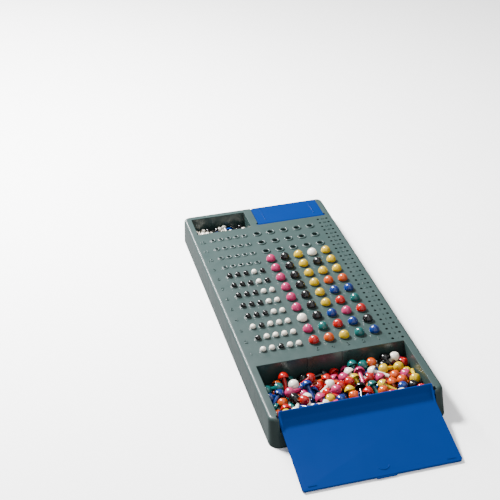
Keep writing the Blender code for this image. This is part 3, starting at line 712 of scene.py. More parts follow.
def outline(board, height, inset, steps=10):
    """The board's outline at a height, drawn in by an inset."""
    low = 1 - height / board.height
    half = board.width / 2 + board.side_flare * low - inset
    front = board.front_y - board.height * math.tan(board.front_slope) * low + inset
    far = board.front_y + board.length + board.far_flare * low - inset
    near_radius = board.corner_radius + board.front_growth * low - inset
    far_radius = board.corner_radius + board.far_growth * low - inset
    corners = (
        (near_radius - half, front + near_radius, near_radius, 2),
        (half - near_radius, front + near_radius, near_radius, 3),
        (half - far_radius, far - far_radius, far_radius, 0),
        (far_radius - half, far - far_radius, far_radius, 1),
    )
    points = []
    for x, y, radius, quarter in corners:
        for step in range(steps + 1):
            turn = math.pi / 2 * (quarter + step / steps)
            points.append((x + radius * math.cos(turn), y + radius * math.sin(turn), height))
    return points


class Layout:
    """Places on the board that follow from its settings."""

    def __init__(self, game):
        board, holes, lid, shield = game.board, game.holes, game.lid, game.shield
        self.rows = [holes.first_row_y + i * holes.row_pitch for i in range(ROWS)]
        self.code_columns = [holes.code_x + i * holes.code_pitch for i in range(COLUMNS)]
        self.key_columns = [holes.key_x + i * holes.key_pitch for i in range(COLUMNS)]
        half = board.width / 2
        slope = math.tan(board.front_slope)
        self.bin_half = half - board.cheek
        self.bin_back = board.front_y + board.bin_reach
        self.small_left = board.far_cheek - half
        room = board.width - 2 * board.far_cheek - board.divider
        self.small_right = self.small_left + board.small_share * room
        self.recess_left = self.small_right + board.divider - shield.side_gap
        self.recess_right = half - board.far_cheek + shield.side_gap
        self.recess_middle = (self.recess_left + self.recess_right) / 2
        self.far_far = board.far_near + board.far_bin
        self.recess_near = shield.pin_y - shield.barrel - CLEARANCE
        self.recess_floor = board.height - board.recess_depth
        self.ceiling = board.height - board.deck
        self.recess_under = self.recess_floor - board.deck
        self.far_gate = board.height - shield.thickness - CLEARANCE
        self.inner_foot = board.front_y + board.wall / math.cos(board.front_slope)
        self.inner_foot -= (board.height - board.bin_floor) * slope
        self.swing = strip_foot(game).length
        self.front_gate = lid.pin_z - self.swing - CLEARANCE
        self.inner_gate = self.inner_foot + (self.front_gate - board.bin_floor) * slope
        self.above = board.height + OVERRUN


def front_slant(board):
    """The direction down the front wall, as (y, z)."""
    return Vector((-math.sin(board.front_slope), -math.cos(board.front_slope)))


def strip_foot(game):
    """The foot of the closed lid's front strip, as (y, z) from the pins."""
    lid, board = game.lid, game.board
    root = Vector((-lid.pin_setback, lid.pin_depth))
    return root + front_slant(board) * (lid.strip_height + lid.thickness / math.cos(board.front_slope))


def pocket_tool(board, spots):
    """The bins and the recess, as one cutting mesh."""
    shape = bmesh.new()
    outside = board.front_y - board.height * math.tan(board.front_slope) - OVERRUN
    storage = (
        (spots.bin_back, spots.above),
        (outside, spots.above),
        (outside, spots.front_gate),
        (spots.inner_gate, spots.front_gate),
        (spots.inner_foot, board.bin_floor),
        (spots.bin_back, board.bin_floor),
    )
    add_bar(shape, storage, -spots.bin_half, spots.bin_half)
    low = (spots.small_left, board.far_near, board.bin_floor)
    add_box(shape, low, (spots.small_right, spots.far_far, spots.above))
    beyond = board.front_y + board.length + board.far_flare + OVERRUN
    recess = (
        (beyond, spots.above),
        (spots.recess_near, spots.above),
        (spots.recess_near, spots.recess_floor),
        (spots.far_far, spots.recess_floor),
        (spots.far_far, spots.far_gate),
        (beyond, spots.far_gate),
    )
    add_bar(shape, recess, spots.recess_left, spots.recess_right)
    return from_bmesh("pockets", shape)


def slot_tool(game, spots):
    """The slots for the hinge pins, open at the deck."""
    shape = bmesh.new()
    for wall, side, hinge in (
        (-spots.bin_half, -1, game.lid),
        (spots.bin_half, 1, game.lid),
        (spots.recess_left, -1, game.shield),
        (spots.recess_right, 1, game.shield),
    ):
        reach = hinge.pin_radius + CLEARANCE
        start, end = sorted((wall - side * OVERRUN / 4, wall + side * SLOT_DEPTH))
        low = (start, hinge.pin_y - reach, hinge.pin_z - reach)
        add_box(shape, low, (end, hinge.pin_y + reach, spots.above))
    return from_bmesh("slots", shape)


def hollow_tool(board, spots):
    """The open underside, which leaves the bins and the recess standing."""
    hollow, bins, recess = bmesh.new(), bmesh.new(), bmesh.new()
    add_loft(hollow, [outline(board, z, board.wall) for z in (-OVERRUN, spots.ceiling)])
    beyond = board.front_y + board.length + board.width
    wall = spots.bin_half + board.wall
    low = (-wall, board.front_y - board.width, -2 * OVERRUN)
    add_box(bins, low, (wall, spots.bin_back + board.wall, spots.above))
    low = (-board.width, board.far_near - board.wall, -2 * OVERRUN)
    add_box(bins, low, (spots.recess_left, beyond, spots.above))
    low = (spots.recess_left - board.wall, spots.recess_near - board.wall, spots.recess_under)
    add_box(recess, low, (board.width, beyond, spots.above))
    kept = [("DIFFERENCE", from_bmesh("keep", part)) for part in (bins, recess)]
    return carved(from_bmesh("hollow", hollow), kept)


def rib_tool(board, spots):
    """Two upright ribs on the back wall of the large bin."""
    shape = bmesh.new()
    for x in RIB_PLACES:
        low = (x - board.rib_width / 2, spots.bin_back - board.rib_depth, board.bin_floor / 2)
        high = (x + board.rib_width / 2, spots.bin_back + board.wall / 2, board.height - board.edge * 2)
        add_box(shape, low, high)
    return from_bmesh("ribs", shape)


def drill(shape, x, y, levels, sides, tops, feet):
    """Adds a hole's wall through its (radius, height) levels, and its first and last ring to the lists."""
    rings = [[shape.verts.new((x + r * c, y + r * s, z)) for c, s in circle(sides)] for r, z in levels]
    for lower, upper in zip(rings, rings[1:]):
        bridge(shape, lower, upper)
    tops.append(rings[0])
    feet.append(rings[-1])


def open_loops(shape, height):
    """Removes the flat faces at a height and returns the closed loops of points that they leave."""
    level = [f for f in shape.faces if all(abs(v.co.z - height) < LEVEL for v in f.verts)]
    bmesh.ops.delete(shape, geom=level, context="FACES")
    following = {}
    for edge in shape.edges:
        if len(edge.link_faces) == 1 and all(abs(v.co.z - height) < LEVEL for v in edge.verts):
            for a, b in (edge.verts, reversed(edge.verts)):
                following.setdefault(a, []).append(b)
    loops, seen = [], set()
    for start in following:
        if start in seen:
            continue
        loop, here, last = [start], following[start][0], start
        while here is not start:
            loop.append(here)
            choices = [v for v in following[here] if v is not last]
            last, here = here, choices[0]
        seen.update(loop)
        loops.append(loop)
    return loops


def signed_area(loop):
    """Twice the area of a loop, positive if it runs anticlockwise."""
    return sum(a.co.x * b.co.y - b.co.x * a.co.y for a, b in zip(loop, loop[1:] + loop[:1]))


def fill_flat(shape, loops, rings, upward=True):
    """Fills the flat region between closed loops, leaving out the rings."""
    verts, faces = [], []
    for loop in (*loops, *rings):
        way = loop if signed_area(loop) > 0 else loop[::-1]
        faces.append(list(range(len(verts), len(verts) + len(way))))
        verts += way
    flat = [Vector((v.co.x, v.co.y)) for v in verts]
    made, _, triangles, sources, _, owners = delaunay_2d_cdt(flat, [], faces, 0, TINY)
    spare = {}
    height = verts[0].co.z
    for triangle, owner in zip(triangles, owners):
        inside = sum(k < len(loops) for k in owner) % 2 == 1
        if not inside or any(k >= len(loops) for k in owner):
            continue
        corners = []
        for k in triangle:
            if sources[k]:
                corners.append(verts[sources[k][0]])
            else:
                if k not in spare:
                    spare[k] = shape.verts.new((*made[k], height))
                corners.append(spare[k])
        if not upward:
            corners.reverse()
        if len(set(corners)) == len(corners) and not shape.faces.get(corners):
            shape.faces.new(corners)


def stadium(shape, left, right, y, z, radius, steps=10):
    """Points of a slot-shaped outline round a row of holes."""
    points = []
    for x, quarter in ((right, -1), (left, 1)):
        for step in range(steps + 1):
            turn = math.pi / 2 * quarter + math.pi * step / steps
            points.append(shape.verts.new((x + radius * math.cos(turn), y + radius * math.sin(turn), z)))
    return points


def ridge(outside, inside, foot, top):
    """Rounded ridge between two radii, from its foot outside to its foot inside."""
    middle, reach = (outside + inside) / 2, (outside - inside) / 2
    return [
        (middle + reach * math.cos(turn), foot + (top - foot) * abs(math.sin(turn)) ** RIDGE_POWER)
        for turn in sweep(0.0, math.pi, RIDGE_STEPS)
    ]


def boss_levels(holes, deck, under):
    """Outline of a code hole: over its rounded boss and down through the deck."""
    bore, wide, floor = holes.code_hole, holes.counterbore, -holes.counterbore_depth
    levels = ridge(holes.boss_radius, wide, 0.0, holes.boss_height)
    levels += [(wide * 0.97, floor), (bore * 1.05, floor * 1.06), (bore, floor * 1.2)]
    return [(radius, deck + z) for radius, z in levels] + [(bore, under)]


def ring_levels(holes, deck, under):
    """Outline of a key hole: over its rounded ring on the pad and down through the deck."""
    levels = ridge(holes.ring_radius, holes.key_hole, holes.pad_height, holes.ring_height)
    return [(radius, deck + z) for radius, z in levels] + [(holes.key_hole, under)]


def plain_levels(radius, top, under):
    """Outline of a plain hole with a softened edge."""
    edge = [(radius * 1.16, top), (radius * 1.04, top - radius * 0.06), (radius, top - radius * 0.2)]
    return edge + [(radius, under)]


def drill_deck(shape, game, spots):
    """Gives the deck its holes, bosses, rings and pads, and closes it between them."""
    holes, deck, under = game.holes, game.board.height, spots.ceiling
    tops, feet = [], []
    for y in spots.rows:
        for x in spots.code_columns:
            drill(shape, x, y, boss_levels(holes, deck, under), CODE_SIDES, tops, feet)
        ends = spots.key_columns[0], spots.key_columns[-1]
        edges = [
            stadium(shape, *ends, y, deck + rise * holes.pad_height, holes.pad_radius * (1 - inset))
            for inset, rise in PAD_EDGE
        ]
        for lower, upper in zip(edges, edges[1:]):
            bridge(shape, lower, upper)
        tops.append(edges[0])
        pad = []
        for x in spots.key_columns:
            drill(shape, x, y, ring_levels(holes, deck, under), KEY_SIDES, pad, feet)
        fill_flat(shape, [edges[-1]], pad)
    for step in range(SCORE_ROWS):
        for side in range(2):
            x, y = holes.score_x + side * holes.score_gap, holes.score_y - step * holes.score_pitch
            drill(shape, x, y, plain_levels(holes.score_hole, deck, under), SCORE_SIDES, tops, feet)
    fill_flat(shape, open_loops(shape, deck), tops)
    fill_flat(shape, open_loops(shape, under), feet, upward=False)


def drill_recess(shape, game, spots):
    """Gives the recess's floor its five holes."""
    tops, feet = [], []
    levels = plain_levels(game.holes.code_hole, spots.recess_floor, spots.recess_under)
    for x, y in secret_places(game, spots):
        drill(shape, x, y, levels, CODE_SIDES, tops, feet)
    fill_flat(shape, open_loops(shape, spots.recess_floor), tops)
    fill_flat(shape, open_loops(shape, spots.recess_under), feet, upward=False)


def secret_places(game, spots):
    """Centres of the five holes under the shield."""
    y = (game.shield.pin_y + spots.far_far) / 2
    middle = (COLUMNS - 1) / 2
    return [(spots.recess_middle + (i - middle) * game.holes.code_pitch, y) for i in range(COLUMNS)]


def crisp_edge(edge):
    """Picks the edges of bins, recess and slots that get a small rounding."""
    steep = edge.calc_face_angle(0.0) >= math.radians(CRISP_ANGLE)
    high = min(v.co.z for v in edge.verts) >= FOOT_HEIGHT
    return steep and high and all(face.normal.z > -0.5 for face in edge.link_faces)


def build_board(game):
    """The moulding: shell, bins, recess, hollow underside and the drilled deck."""
    board, spots = game.board, Layout(game)
    solid = bmesh.new()
    rings = [outline(board, 0.0, 0.0)]
    for turn in sweep(0.0, math.pi / 2, FILLET_STEPS):
        height = board.height - board.fillet * (1 - math.sin(turn))
        rings.append(outline(board, height, board.fillet * (1 - math.cos(turn))))
    add_loft(solid, rings)
    steps = [
        ("DIFFERENCE", hollow_tool(board, spots)),
        ("DIFFERENCE", pocket_tool(board, spots)),
        ("UNION", rib_tool(board, spots)),
        ("DIFFERENCE", slot_tool(game, spots)),
    ]
    shape = rounded(carved(from_bmesh("shell", solid), steps), board.edge, EDGE_STEPS, crisp_edge)
    drill_deck(shape, game, spots)
    drill_recess(shape, game, spots)
    for face in shape.faces:
        x, y, z = face.calc_center_median()
        in_large = abs(x) < spots.bin_half + CLEARANCE and spots.inner_foot < y < spots.bin_back + CLEARANCE
        between = spots.small_left - CLEARANCE < x < spots.small_right + CLEARANCE
        in_small = between and y > board.far_near - CLEARANCE
        inner = (in_large or in_small) and board.bin_floor / 2 < z < board.height - board.edge
        face.material_index = 1 if inner else 0
    mesh = shaded(from_bmesh("board_moulding", shape, turn_out=False), board_materials(), BOARD_SHADING)
    moulding("board_moulding", mesh, "board", "playing_board")


def number_mesh(text, size, relief):
    """A number as a raised mesh."""
    curve = bpy.data.curves.new("number", "FONT")
    curve.body = text
    curve.size = size
    curve.align_x = "CENTER"
    curve.align_y = "CENTER"
    curve.resolution_u = 3
    curve.extrude = relief
    curve.bevel_depth = relief * NUMBER_BEVEL
    curve.bevel_resolution = 1
    return evaluated_mesh(link(bpy.data.objects.new("number", curve)))


def build_numbers(game):
    """Row numbers, column numbers and the score track's numbers, raised from the deck."""
    holes, spots = game.holes, Layout(game)
    wanted = []
    for label, y in enumerate(spots.rows, 1):
        wanted.append((label, holes.row_number, holes.row_number_x, y - holes.row_pitch * NUMBER_DROP))
    for label, x in zip(range(COLUMNS, 0, -1), spots.code_columns):
        wanted.append((label, holes.column_number, x, holes.column_number_y))
    for label in range(1, SCORE_ROWS + 1):
        y = holes.score_y - (SCORE_ROWS - label) * holes.score_pitch
        wanted.append((label, holes.score_number, holes.score_x + holes.score_gap / 2, y))
    shape = bmesh.new()
    relief = holes.number_height
    for label, size, x, y in wanted:
        mesh = number_mesh(str(label), size, relief / 2)
        mesh.transform(Matrix.Translation((x, y, game.board.height + relief * NUMBER_LIFT)))
        shape.from_mesh(mesh)
        bpy.data.meshes.remove(mesh)
    mesh = shaded(from_bmesh("board_numbers", shape, turn_out=False), board_materials()[:1], NUMBER_SHADING)
    piece("board_numbers", mesh, "board", [])


# Lid and shield


def tip_corner(tip):
    """Picks a plate's upright edges at its tip."""

    def wanted(edge):
        one, other = (vert.co for vert in edge.verts)
        return abs(one.y - tip) < LEVEL and abs(other.y - tip) < LEVEL and abs(one.x - other.x) < LEVEL

    return wanted


def sharp_edge(edge):
    """Picks the sharp edges that aren't on a thin round pin."""
    return edge.calc_face_angle(0.0) > math.radians(SHARP_ANGLE) and edge.calc_length() > SHORT_EDGE


def add_arc(shape, centre, radius, start, end, width, height, steps=14):
    """Adds a low ridge that follows an arc on a plate's inner face, on which its centre lies."""
    x, y, z = centre
    rings = []
    for step, turn in enumerate(sweep(start, end, steps)):
        taper = max(0.25, math.sin(math.pi * step / steps) ** 0.5)
        ring = []
        for across, deep in ((-0.5, 0.5), (-0.5, -0.2), (-0.2, -1.0), (0.2, -1.0), (0.5, -0.2), (0.5, 0.5)):
            reach = radius + across * width
            ring.append((x + reach * math.cos(turn), y + reach * math.sin(turn), z + deep * height * taper))
        rings.append(ring)
    add_loft(shape, rings)


def lid_shell(game, inner):
    """The lid's plate with its strip and gussets, as a mesh and the mesh to carve between the gussets."""
    lid, board = game.lid, game.board
    slant, slope = front_slant(board), board.front_slope
    normal = Vector((math.cos(slope), -math.sin(slope)))
    root = Vector((-lid.pin_setback, lid.pin_depth))
    foot = strip_foot(game)
    inner_root = root + normal * lid.strip_thickness
    crease = inner_root + slant * ((inner_root.y - inner) / math.cos(slope))
    end = foot + normal * lid.strip_thickness
    back = (crease.x + lid.gusset, inner)
    block = bmesh.new()
    add_bar(block, (root, (lid.reach, root.y), (lid.reach, inner), back, end, foot), -lid.half, lid.half)
    shell = rounded(from_bmesh("lid_block", block), lid.corner, CORNER_STEPS, tip_corner(lid.reach))
    curve = [
        crease + slant * lid.fillet * (1 - t) ** 2 + Vector((lid.fillet * t**2, 0.0))
        for t in sweep(0.0, 1.0, LID_FILLET_STEPS)
    ]
    outside = back[0] + OVERRUN
    profile = (end + slant * OVERRUN, *curve, back, (outside, inner - OVERRUN), (outside, end.y - OVERRUN))
    inside = lid.half - lid.gusset_thickness
    between = bmesh.new()
    add_bar(between, profile, -inside, inside)
    return from_bmesh("lid_block", shell), from_bmesh("between", between)


def build_lid(game):
    """The storage lid: plate, strip, gussets, pins, finger tab and snap marks."""
    lid = game.lid
    inner = lid.pin_depth - lid.thickness
    shell, between = lid_shell(game, inner)
    extras = bmesh.new()
    for side in (-1, 1):
        start = side * (lid.half - lid.gusset_thickness / 2)
        add_pin(extras, start, side * lid.pin_reach, lid.pin_radius)
    tab = lid.tab_offset - lid.tab_width / 2
    low = (tab, lid.reach - 2 * lid.thickness, inner + lid.tab_step)
    add_box(extras, low, (tab + lid.tab_width, lid.reach + lid.tab_reach, lid.pin_depth - lid.tab_step))
    steps = [("DIFFERENCE", between), ("UNION", from_bmesh("extras", extras))]
    shape = rounded(carved(shell, steps), lid.edge, EDGE_STEPS, sharp_edge)
    centre = (lid.tab_offset, lid.reach - lid.mark_radius * 2, inner)
    ends = (lid.mark_sweep, math.pi - lid.mark_sweep)
    add_arc(shape, centre, lid.mark_radius, *ends, lid.mark_width, lid.mark_height)
    half = lid.mark_radius * MARK_HALF
    near = lid.reach - lid.mark_width * 4
    for side in (-1, 1):
        x = side * (lid.half - lid.mark_radius * MARK_INSET)
        high = (x + half, near + lid.mark_width, inner + lid.mark_height)
        add_box(shape, (x - half, near, inner - lid.mark_height), high)
    bmesh.ops.rotate(shape, matrix=Matrix.Rotation(lid.open_angle, 3, "X"), verts=shape.verts)
    mesh = shaded(from_bmesh("storage_lid_plate", shape), [lid_material()])
    place = (0.0, lid.pin_y, lid.pin_z)
    moulding("storage_lid_plate", mesh, "storage_lid", "storage_lid", place)


def build_shield(game):
    """The code shield: a plate with a rolled near edge, two raised ribs and its pins."""
    shield, spots = game.shield, Layout(game)
    half = (spots.recess_right - spots.recess_left) / 2 - shield.side_gap
    barrel, underside = shield.barrel, shield.barrel - shield.thickness
    turns = sweep(math.pi / 2, math.tau + math.asin(underside / barrel), BARREL_STEPS)
    profile = [(barrel * math.cos(turn), barrel * math.sin(turn)) for turn in turns]
    profile += [(shield.reach, underside), (shield.reach, barrel)]
    plate, extras = bmesh.new(), bmesh.new()
    add_bar(plate, profile, -half, half)
    base = rounded(from_bmesh("plate", plate), game.lid.corner, CORNER_STEPS, tip_corner(shield.reach))
    for side in (-1, 1):
        add_pin(extras, side * (half - OVERRUN), side * (half + shield.pin_reach), shield.pin_radius)
        x = side * (half - shield.rib_inset)
        low = (x - shield.rib_width / 2, shield.rib_gap, barrel - shield.rib_height)
        high = (x + shield.rib_width / 2, shield.reach - shield.rib_gap, barrel + shield.rib_height)
        add_box(extras, low, high)
    whole = carved(from_bmesh("plate", base), [("UNION", from_bmesh("extras", extras))])
    mesh = from_bmesh("code_shield_plate", rounded(whole, shield.edge, EDGE_STEPS, sharp_edge))
    place = (spots.recess_middle, shield.pin_y, shield.pin_z)
    shaded(mesh, [lid_material()])
    moulding("code_shield_plate", mesh, "code_shield", "code_shield", place)


# Pegs


def code_sizes(pegs):
    """A code peg's head radius and height, and its shank's radius and length."""
    return pegs.code_radius, pegs.code_height, pegs.code_shank, pegs.code_length


def key_sizes(pegs):
    """A key peg's head radius and height, and its shank's radius and length."""
    return pegs.key_radius, pegs.key_height, pegs.key_shank, pegs.key_length


def peg(sizes, foot, rim, base, turns, point, sides):
    """A turned peg. Foot, rim and base are shares of its sizes, and the turns go up its crown."""
    radius, height, shank, reach = sizes
    profile = [(a * shank, z * reach) for a, z in foot]
    profile += [(a * radius, z * height) for a, z in rim]
    profile += [(radius * math.cos(t) ** point, height * (base + (1 - base) * math.sin(t))) for t in turns]
    return lathe([*profile, (0.0, height)], sides)


def code_peg(pegs, sides):
    """A mushroom-headed code peg: tapered shank, hollow underside and domed crown."""
    foot = [(0, -1), (0.72, -1), (0.86, -0.988), (0.93, -0.96), (0.97, -0.7), (1, -0.3), (1.04, -0.04)]
    under = [(0.37, 0.3), (0.41, 0.42), (0.5, 0.475), (0.6, 0.46), (0.74, 0.36), (0.84, 0.2), (0.875, 0.05)]
    rim = [(0.895, 0.0), (0.965, 0.0), (0.992, 0.02), (1.0, 0.055)]
    turns = sweep(0.0, math.pi / 2, 10)[1:-1]
    return peg(code_sizes(pegs), foot, under + rim, 0.07, turns, pegs.point, sides)


def key_peg(pegs, sides):
    """A small key peg with a rounded head."""
    foot = [(0.0, -1.0), (0.6, -1.0), (0.85, -0.985), (0.94, -0.95), (1.0, -0.1), (1.1, -0.01)]
    rim = [(0.5, 0.0), (0.86, 0.0), (0.95, 0.03), (0.99, 0.1)]
    turns = sweep(0.0, math.pi / 2, 8)[:-1]
    return peg(key_sizes(pegs), foot, rim, 0.2, turns, 1.0, sides)


def show_pegs(name, shape, places, letter, body, node):
    """Shows pegs of one colour at their places, as one piece."""
    mesh = copies(name, *shape, places, peg_material(letter))
    piece(name, mesh, body, [node])


def build_code_pegs(game):
    """One piece for each code peg in the board; pegs of a colour share a mesh."""
    spots, shape = Layout(game), code_peg(game.pegs, CODE_PEG_SIDES)
    meshes = {}
    for letter, name in COLOUR_NAMES.items():
        meshes[letter] = copies("code_peg_" + name, *shape, [at(0, 0, 0)], peg_material(letter))
    for row, (y, letters) in enumerate(zip(spots.rows, CODE_ROWS), 1):
        for column, (x, letter) in enumerate(zip(spots.code_columns, letters), 1):
            node, slot = f"code_peg_r{row}_c{column}", "peg_" + COLOUR_NAMES[letter]
            place = (x, y, game.pegs.code_seat)
            piece(f"mushroom_r{row}_c{column}", meshes[letter], node, [node], place)


def build_key_pegs(game):
    """The key pegs of each row, one piece for the white ones and one for the black ones."""
    spots, shape = Layout(game), key_peg(game.pegs, KEY_PEG_SIDES)
    for row, (y, letters) in enumerate(zip(spots.rows, KEY_ROWS), 1):
        node = f"key_pegs_row_{row}"
        for letter in sorted(set(letters)):
            places = [x for x, has in zip(spots.key_columns, letters) if has == letter]
            own = [at(x, y, game.pegs.key_seat) for x in places]
            show_pegs(f"key_pegs_{row}_{COLOUR_NAMES[letter]}", shape, own, letter, node, node)


def build_secret_code(game):
    """The hidden code under the shield."""
    shape = code_peg(game.pegs, CODE_PEG_SIDES)
    for i, (x, y) in enumerate(secret_places(game, Layout(game))):
        place = at(x, y, game.pegs.secret_seat)
        show_pegs(f"secret_peg_{i + 1}", shape, [place], SECRET_CODE[i], "board", "secret_code_pegs")


# Heaps of loose pegs


def balls_of(radius, height, shank, reach):
    """A peg as a chain of balls along its axis, as centres and radii."""
    ball = round(radius, DIGITS) * HEAD_BALL
    heights = [round(height, DIGITS) - ball]
    heights += [-round(reach, DIGITS) * (step + 1) / SHANK_BALLS for step in range(SHANK_BALLS)]
    heights[-1] += round(shank, DIGITS)
    return [(0.0, 0.0, z) for z in heights], [ball] + [round(shank, DIGITS) * SHANK_BALL] * SHANK_BALLS


def random_turns(generator, amount):
    """Random rotation matrices."""
    q = generator.normal(size=(amount, 4))
    w, x, y, z = (q / np.linalg.norm(q, axis=1)[:, None]).T
    rows = [
        [1 - 2 * (y * y + z * z), 2 * (x * y - z * w), 2 * (x * z + y * w)],
        [2 * (x * y + z * w), 1 - 2 * (x * x + z * z), 2 * (y * z - x * w)],
        [2 * (x * z - y * w), 2 * (y * z + x * w), 1 - 2 * (x * x + y * y)],
    ]
    return np.array(rows).transpose(2, 0, 1)


def settled(balls, low, high, pull, generator, steps):
    """Drops pegs, each a rigid chain of balls, into a box. Returns a matrix for each.

    The pull leans to where the heap is higher.
    """
    shapes, radii = (np.round(np.array(part), DIGITS) for part in zip(*balls))
    low, high = np.round(low, DIGITS), np.round(high, DIGITS)
    amount = len(shapes)
    columns, rows = (max(1, int(side / FALL_PITCH)) for side in (high - low)[:2])
    order = np.arange(amount)
    spots = np.stack([(order % columns + 0.5) / columns, (order // columns % rows + 0.5) / rows], 1)
    rise = low[2] + FALL_PITCH * (FIRST_RISE + order // (columns * rows))
    centres = np.concatenate([low[:2] + spots * (high - low)[:2], rise[:, None]], 1)
    centres += generator.normal(size=(amount, 3)) * FALL_PITCH * SCATTER
    weight = radii**2 / (radii**2).sum(1, keepdims=True)
    local = shapes - (shapes * weight[..., None]).sum(1)[:, None]
    turns = random_turns(generator, amount)
    points = np.einsum("nij,nbj->nbi", turns, local) + centres[:, None]
    speed = np.zeros_like(points)
    for step in range(steps):
        before = points.copy()
        points = points + speed + np.round(pull, DIGITS) * FALL_STEP
        near = np.linalg.norm(centres[:, None] - centres[None], axis=2) < FALL_REACH
        first, second = np.nonzero(np.triu(near, 1))
        reach = radii[first][:, :, None] + radii[second][:, None]
        top = high.copy()
        top[2] += 2 * FALL_PITCH * max(0.0, 1 - step / (steps * LOWERING))
        for _ in range(FALL_PASSES):
            gap = points[first][:, :, None] - points[second][:, None]
            apart = np.linalg.norm(gap, axis=3)
            push = np.maximum(0.0, reach - apart) / np.maximum(apart, TINY) / 2
            shift = gap * push[..., None]
            np.add.at(points, first, shift.sum(2))
            np.add.at(points, second, -shift.sum(1))
            points = np.clip(points, low + radii[..., None], top - radii[..., None])
            centres = (points * weight[..., None]).sum(1)
            moment = np.einsum("nb,nbi,nbj->nij", weight, points - centres[:, None], local)
            u, _, v = np.linalg.svd(moment)
            u[:, :, 2] *= np.sign(np.linalg.det(u @ v))[:, None]
            turns = u @ v
            points = centres[:, None] + np.einsum("nij,nbj->nbi", turns, local)
        speed = (points - before) * FALL_DRAG
        pace = np.linalg.norm(speed, axis=2, keepdims=True)
        speed *= np.minimum(1.0, FALL_PACE / np.maximum(pace, TINY))
    matrices = np.tile(np.eye(4), (amount, 1, 1))
    matrices[:, :3, :3] = turns
    matrices[:, :3, 3] = points[:, 0] - np.einsum("nij,nj->ni", turns, shapes[:, 0])
    return matrices


def show_heap(prefix, node, matrices, letters, shapes):
    """Shows a settled heap, one piece for each colour."""
    for letter, shape in shapes.items():
        own = [matrix for matrix, has in zip(matrices, letters) if has == letter]
        show_pegs(prefix + COLOUR_NAMES[letter], shape, own, letter, "board", node)


def build_loose_code_pegs(game):
    """The heap in the large bin, one piece for each colour."""
    heap, spots, floor = game.heap, Layout(game), game.board.bin_floor + CLEARANCE
    amount = heap.code_count
    generator = np.random.default_rng(heap.seed)
    near = game.lid.pin_y + spots.swing + CLEARANCE
    low = np.array((heap.margin - spots.bin_half, near + heap.margin, floor + heap.margin))
    high = np.array((spots.bin_half - heap.margin, spots.bin_back - heap.margin, heap.code_top))
    balls = [balls_of(*code_sizes(game.pegs))] * amount
    matrices = settled(balls, low, high, heap.code_pull, generator, heap.steps)
    letters = generator.permutation((HEAP_COLOURS * (amount // len(HEAP_COLOURS) + 1))[:amount])
    shapes = dict.fromkeys(COLOUR_NAMES, code_peg(game.pegs, LOOSE_CODE_SIDES))
    show_heap("loose_pegs_", "loose_code_pegs", matrices, letters, shapes)


def build_loose_key_pegs(game):
    """The small heap of key pegs, with two code pegs that strayed into it."""
    heap, pegs, spots, board = game.heap, game.pegs, Layout(game), game.board
    amount = heap.key_count + len(STRAYS)
    colours = SMALL_HEAP_COLOURS
    letters = ["B" if k in STRAYS else colours[k % len(colours)] for k in range(amount)]
    floor = board.bin_floor + CLEARANCE
    low = np.array((spots.small_left + heap.margin, board.far_near + heap.margin, floor + heap.margin))
    high = np.array((spots.small_right - heap.margin, spots.far_far - heap.margin, heap.key_top))
    generator = np.random.default_rng(heap.seed + 1)
    balls = [balls_of(*(code_sizes(pegs) if k in STRAYS else key_sizes(pegs))) for k in range(amount)]
    matrices = settled(balls, low, high, heap.key_pull, generator, heap.steps)
    small = key_peg(pegs, LOOSE_KEY_SIDES)
    shapes = {"B": code_peg(pegs, LOOSE_CODE_SIDES), "W": small, "K": small}
    show_heap("loose_small_pegs_", "loose_key_pegs", matrices, letters, shapes)


# Camera, light and floor


def add_light(name, power, size, place, aim):
    """A soft light, with its width and height, that points at its aim."""
    lamp = bpy.data.lights.new(name, "AREA")
    lamp.energy = power
    lamp.shape = "RECTANGLE"
    lamp.size, lamp.size_y = size
    item = link(bpy.data.objects.new(name, lamp))
    item.location = place
    item.rotation_euler = (Vector(aim) - Vector(place)).to_track_quat("-Z", "Y").to_euler()
    return item


def add_floor(stage):
    """The pale floor. It is darker to the light that bounces off it than to the camera."""
    shape = bmesh.new()
    bmesh.ops.create_grid(shape, x_segments=1, y_segments=1, size=FLOOR_SIZE)
    floor = link(bpy.data.objects.new("floor", from_bmesh("floor", shape)))
    floor.location = (0.0, 0.0, -FLOOR_DROP)
    surface = surface_values(3.0, 5.0, (0.85, 0.95), swell=(4.0, 0.02), grain=(900.0, 0.02))
    paper = moulded("floor_paper", stage.floor, PAPER_TONE, surface, {})
    floor.data.materials.append(paper)
    tree, shader = paper.node_tree, paper.node_tree.nodes["Principled BSDF"]
    seen = tree.nodes.new("ShaderNodeMix")
    seen.data_type = "RGBA"
    tree.links.new(tree.nodes.new("ShaderNodeLightPath").outputs["Is Camera Ray"], seen.inputs["Factor"])
    seen.inputs["A"].default_value = (*stage.bounce, 1.0)
    tree.links.new(shader.inputs["Base Color"].links[0].from_socket, seen.inputs["B"])
    tree.links.new(seen.outputs["Result"], shader.inputs["Base Color"])


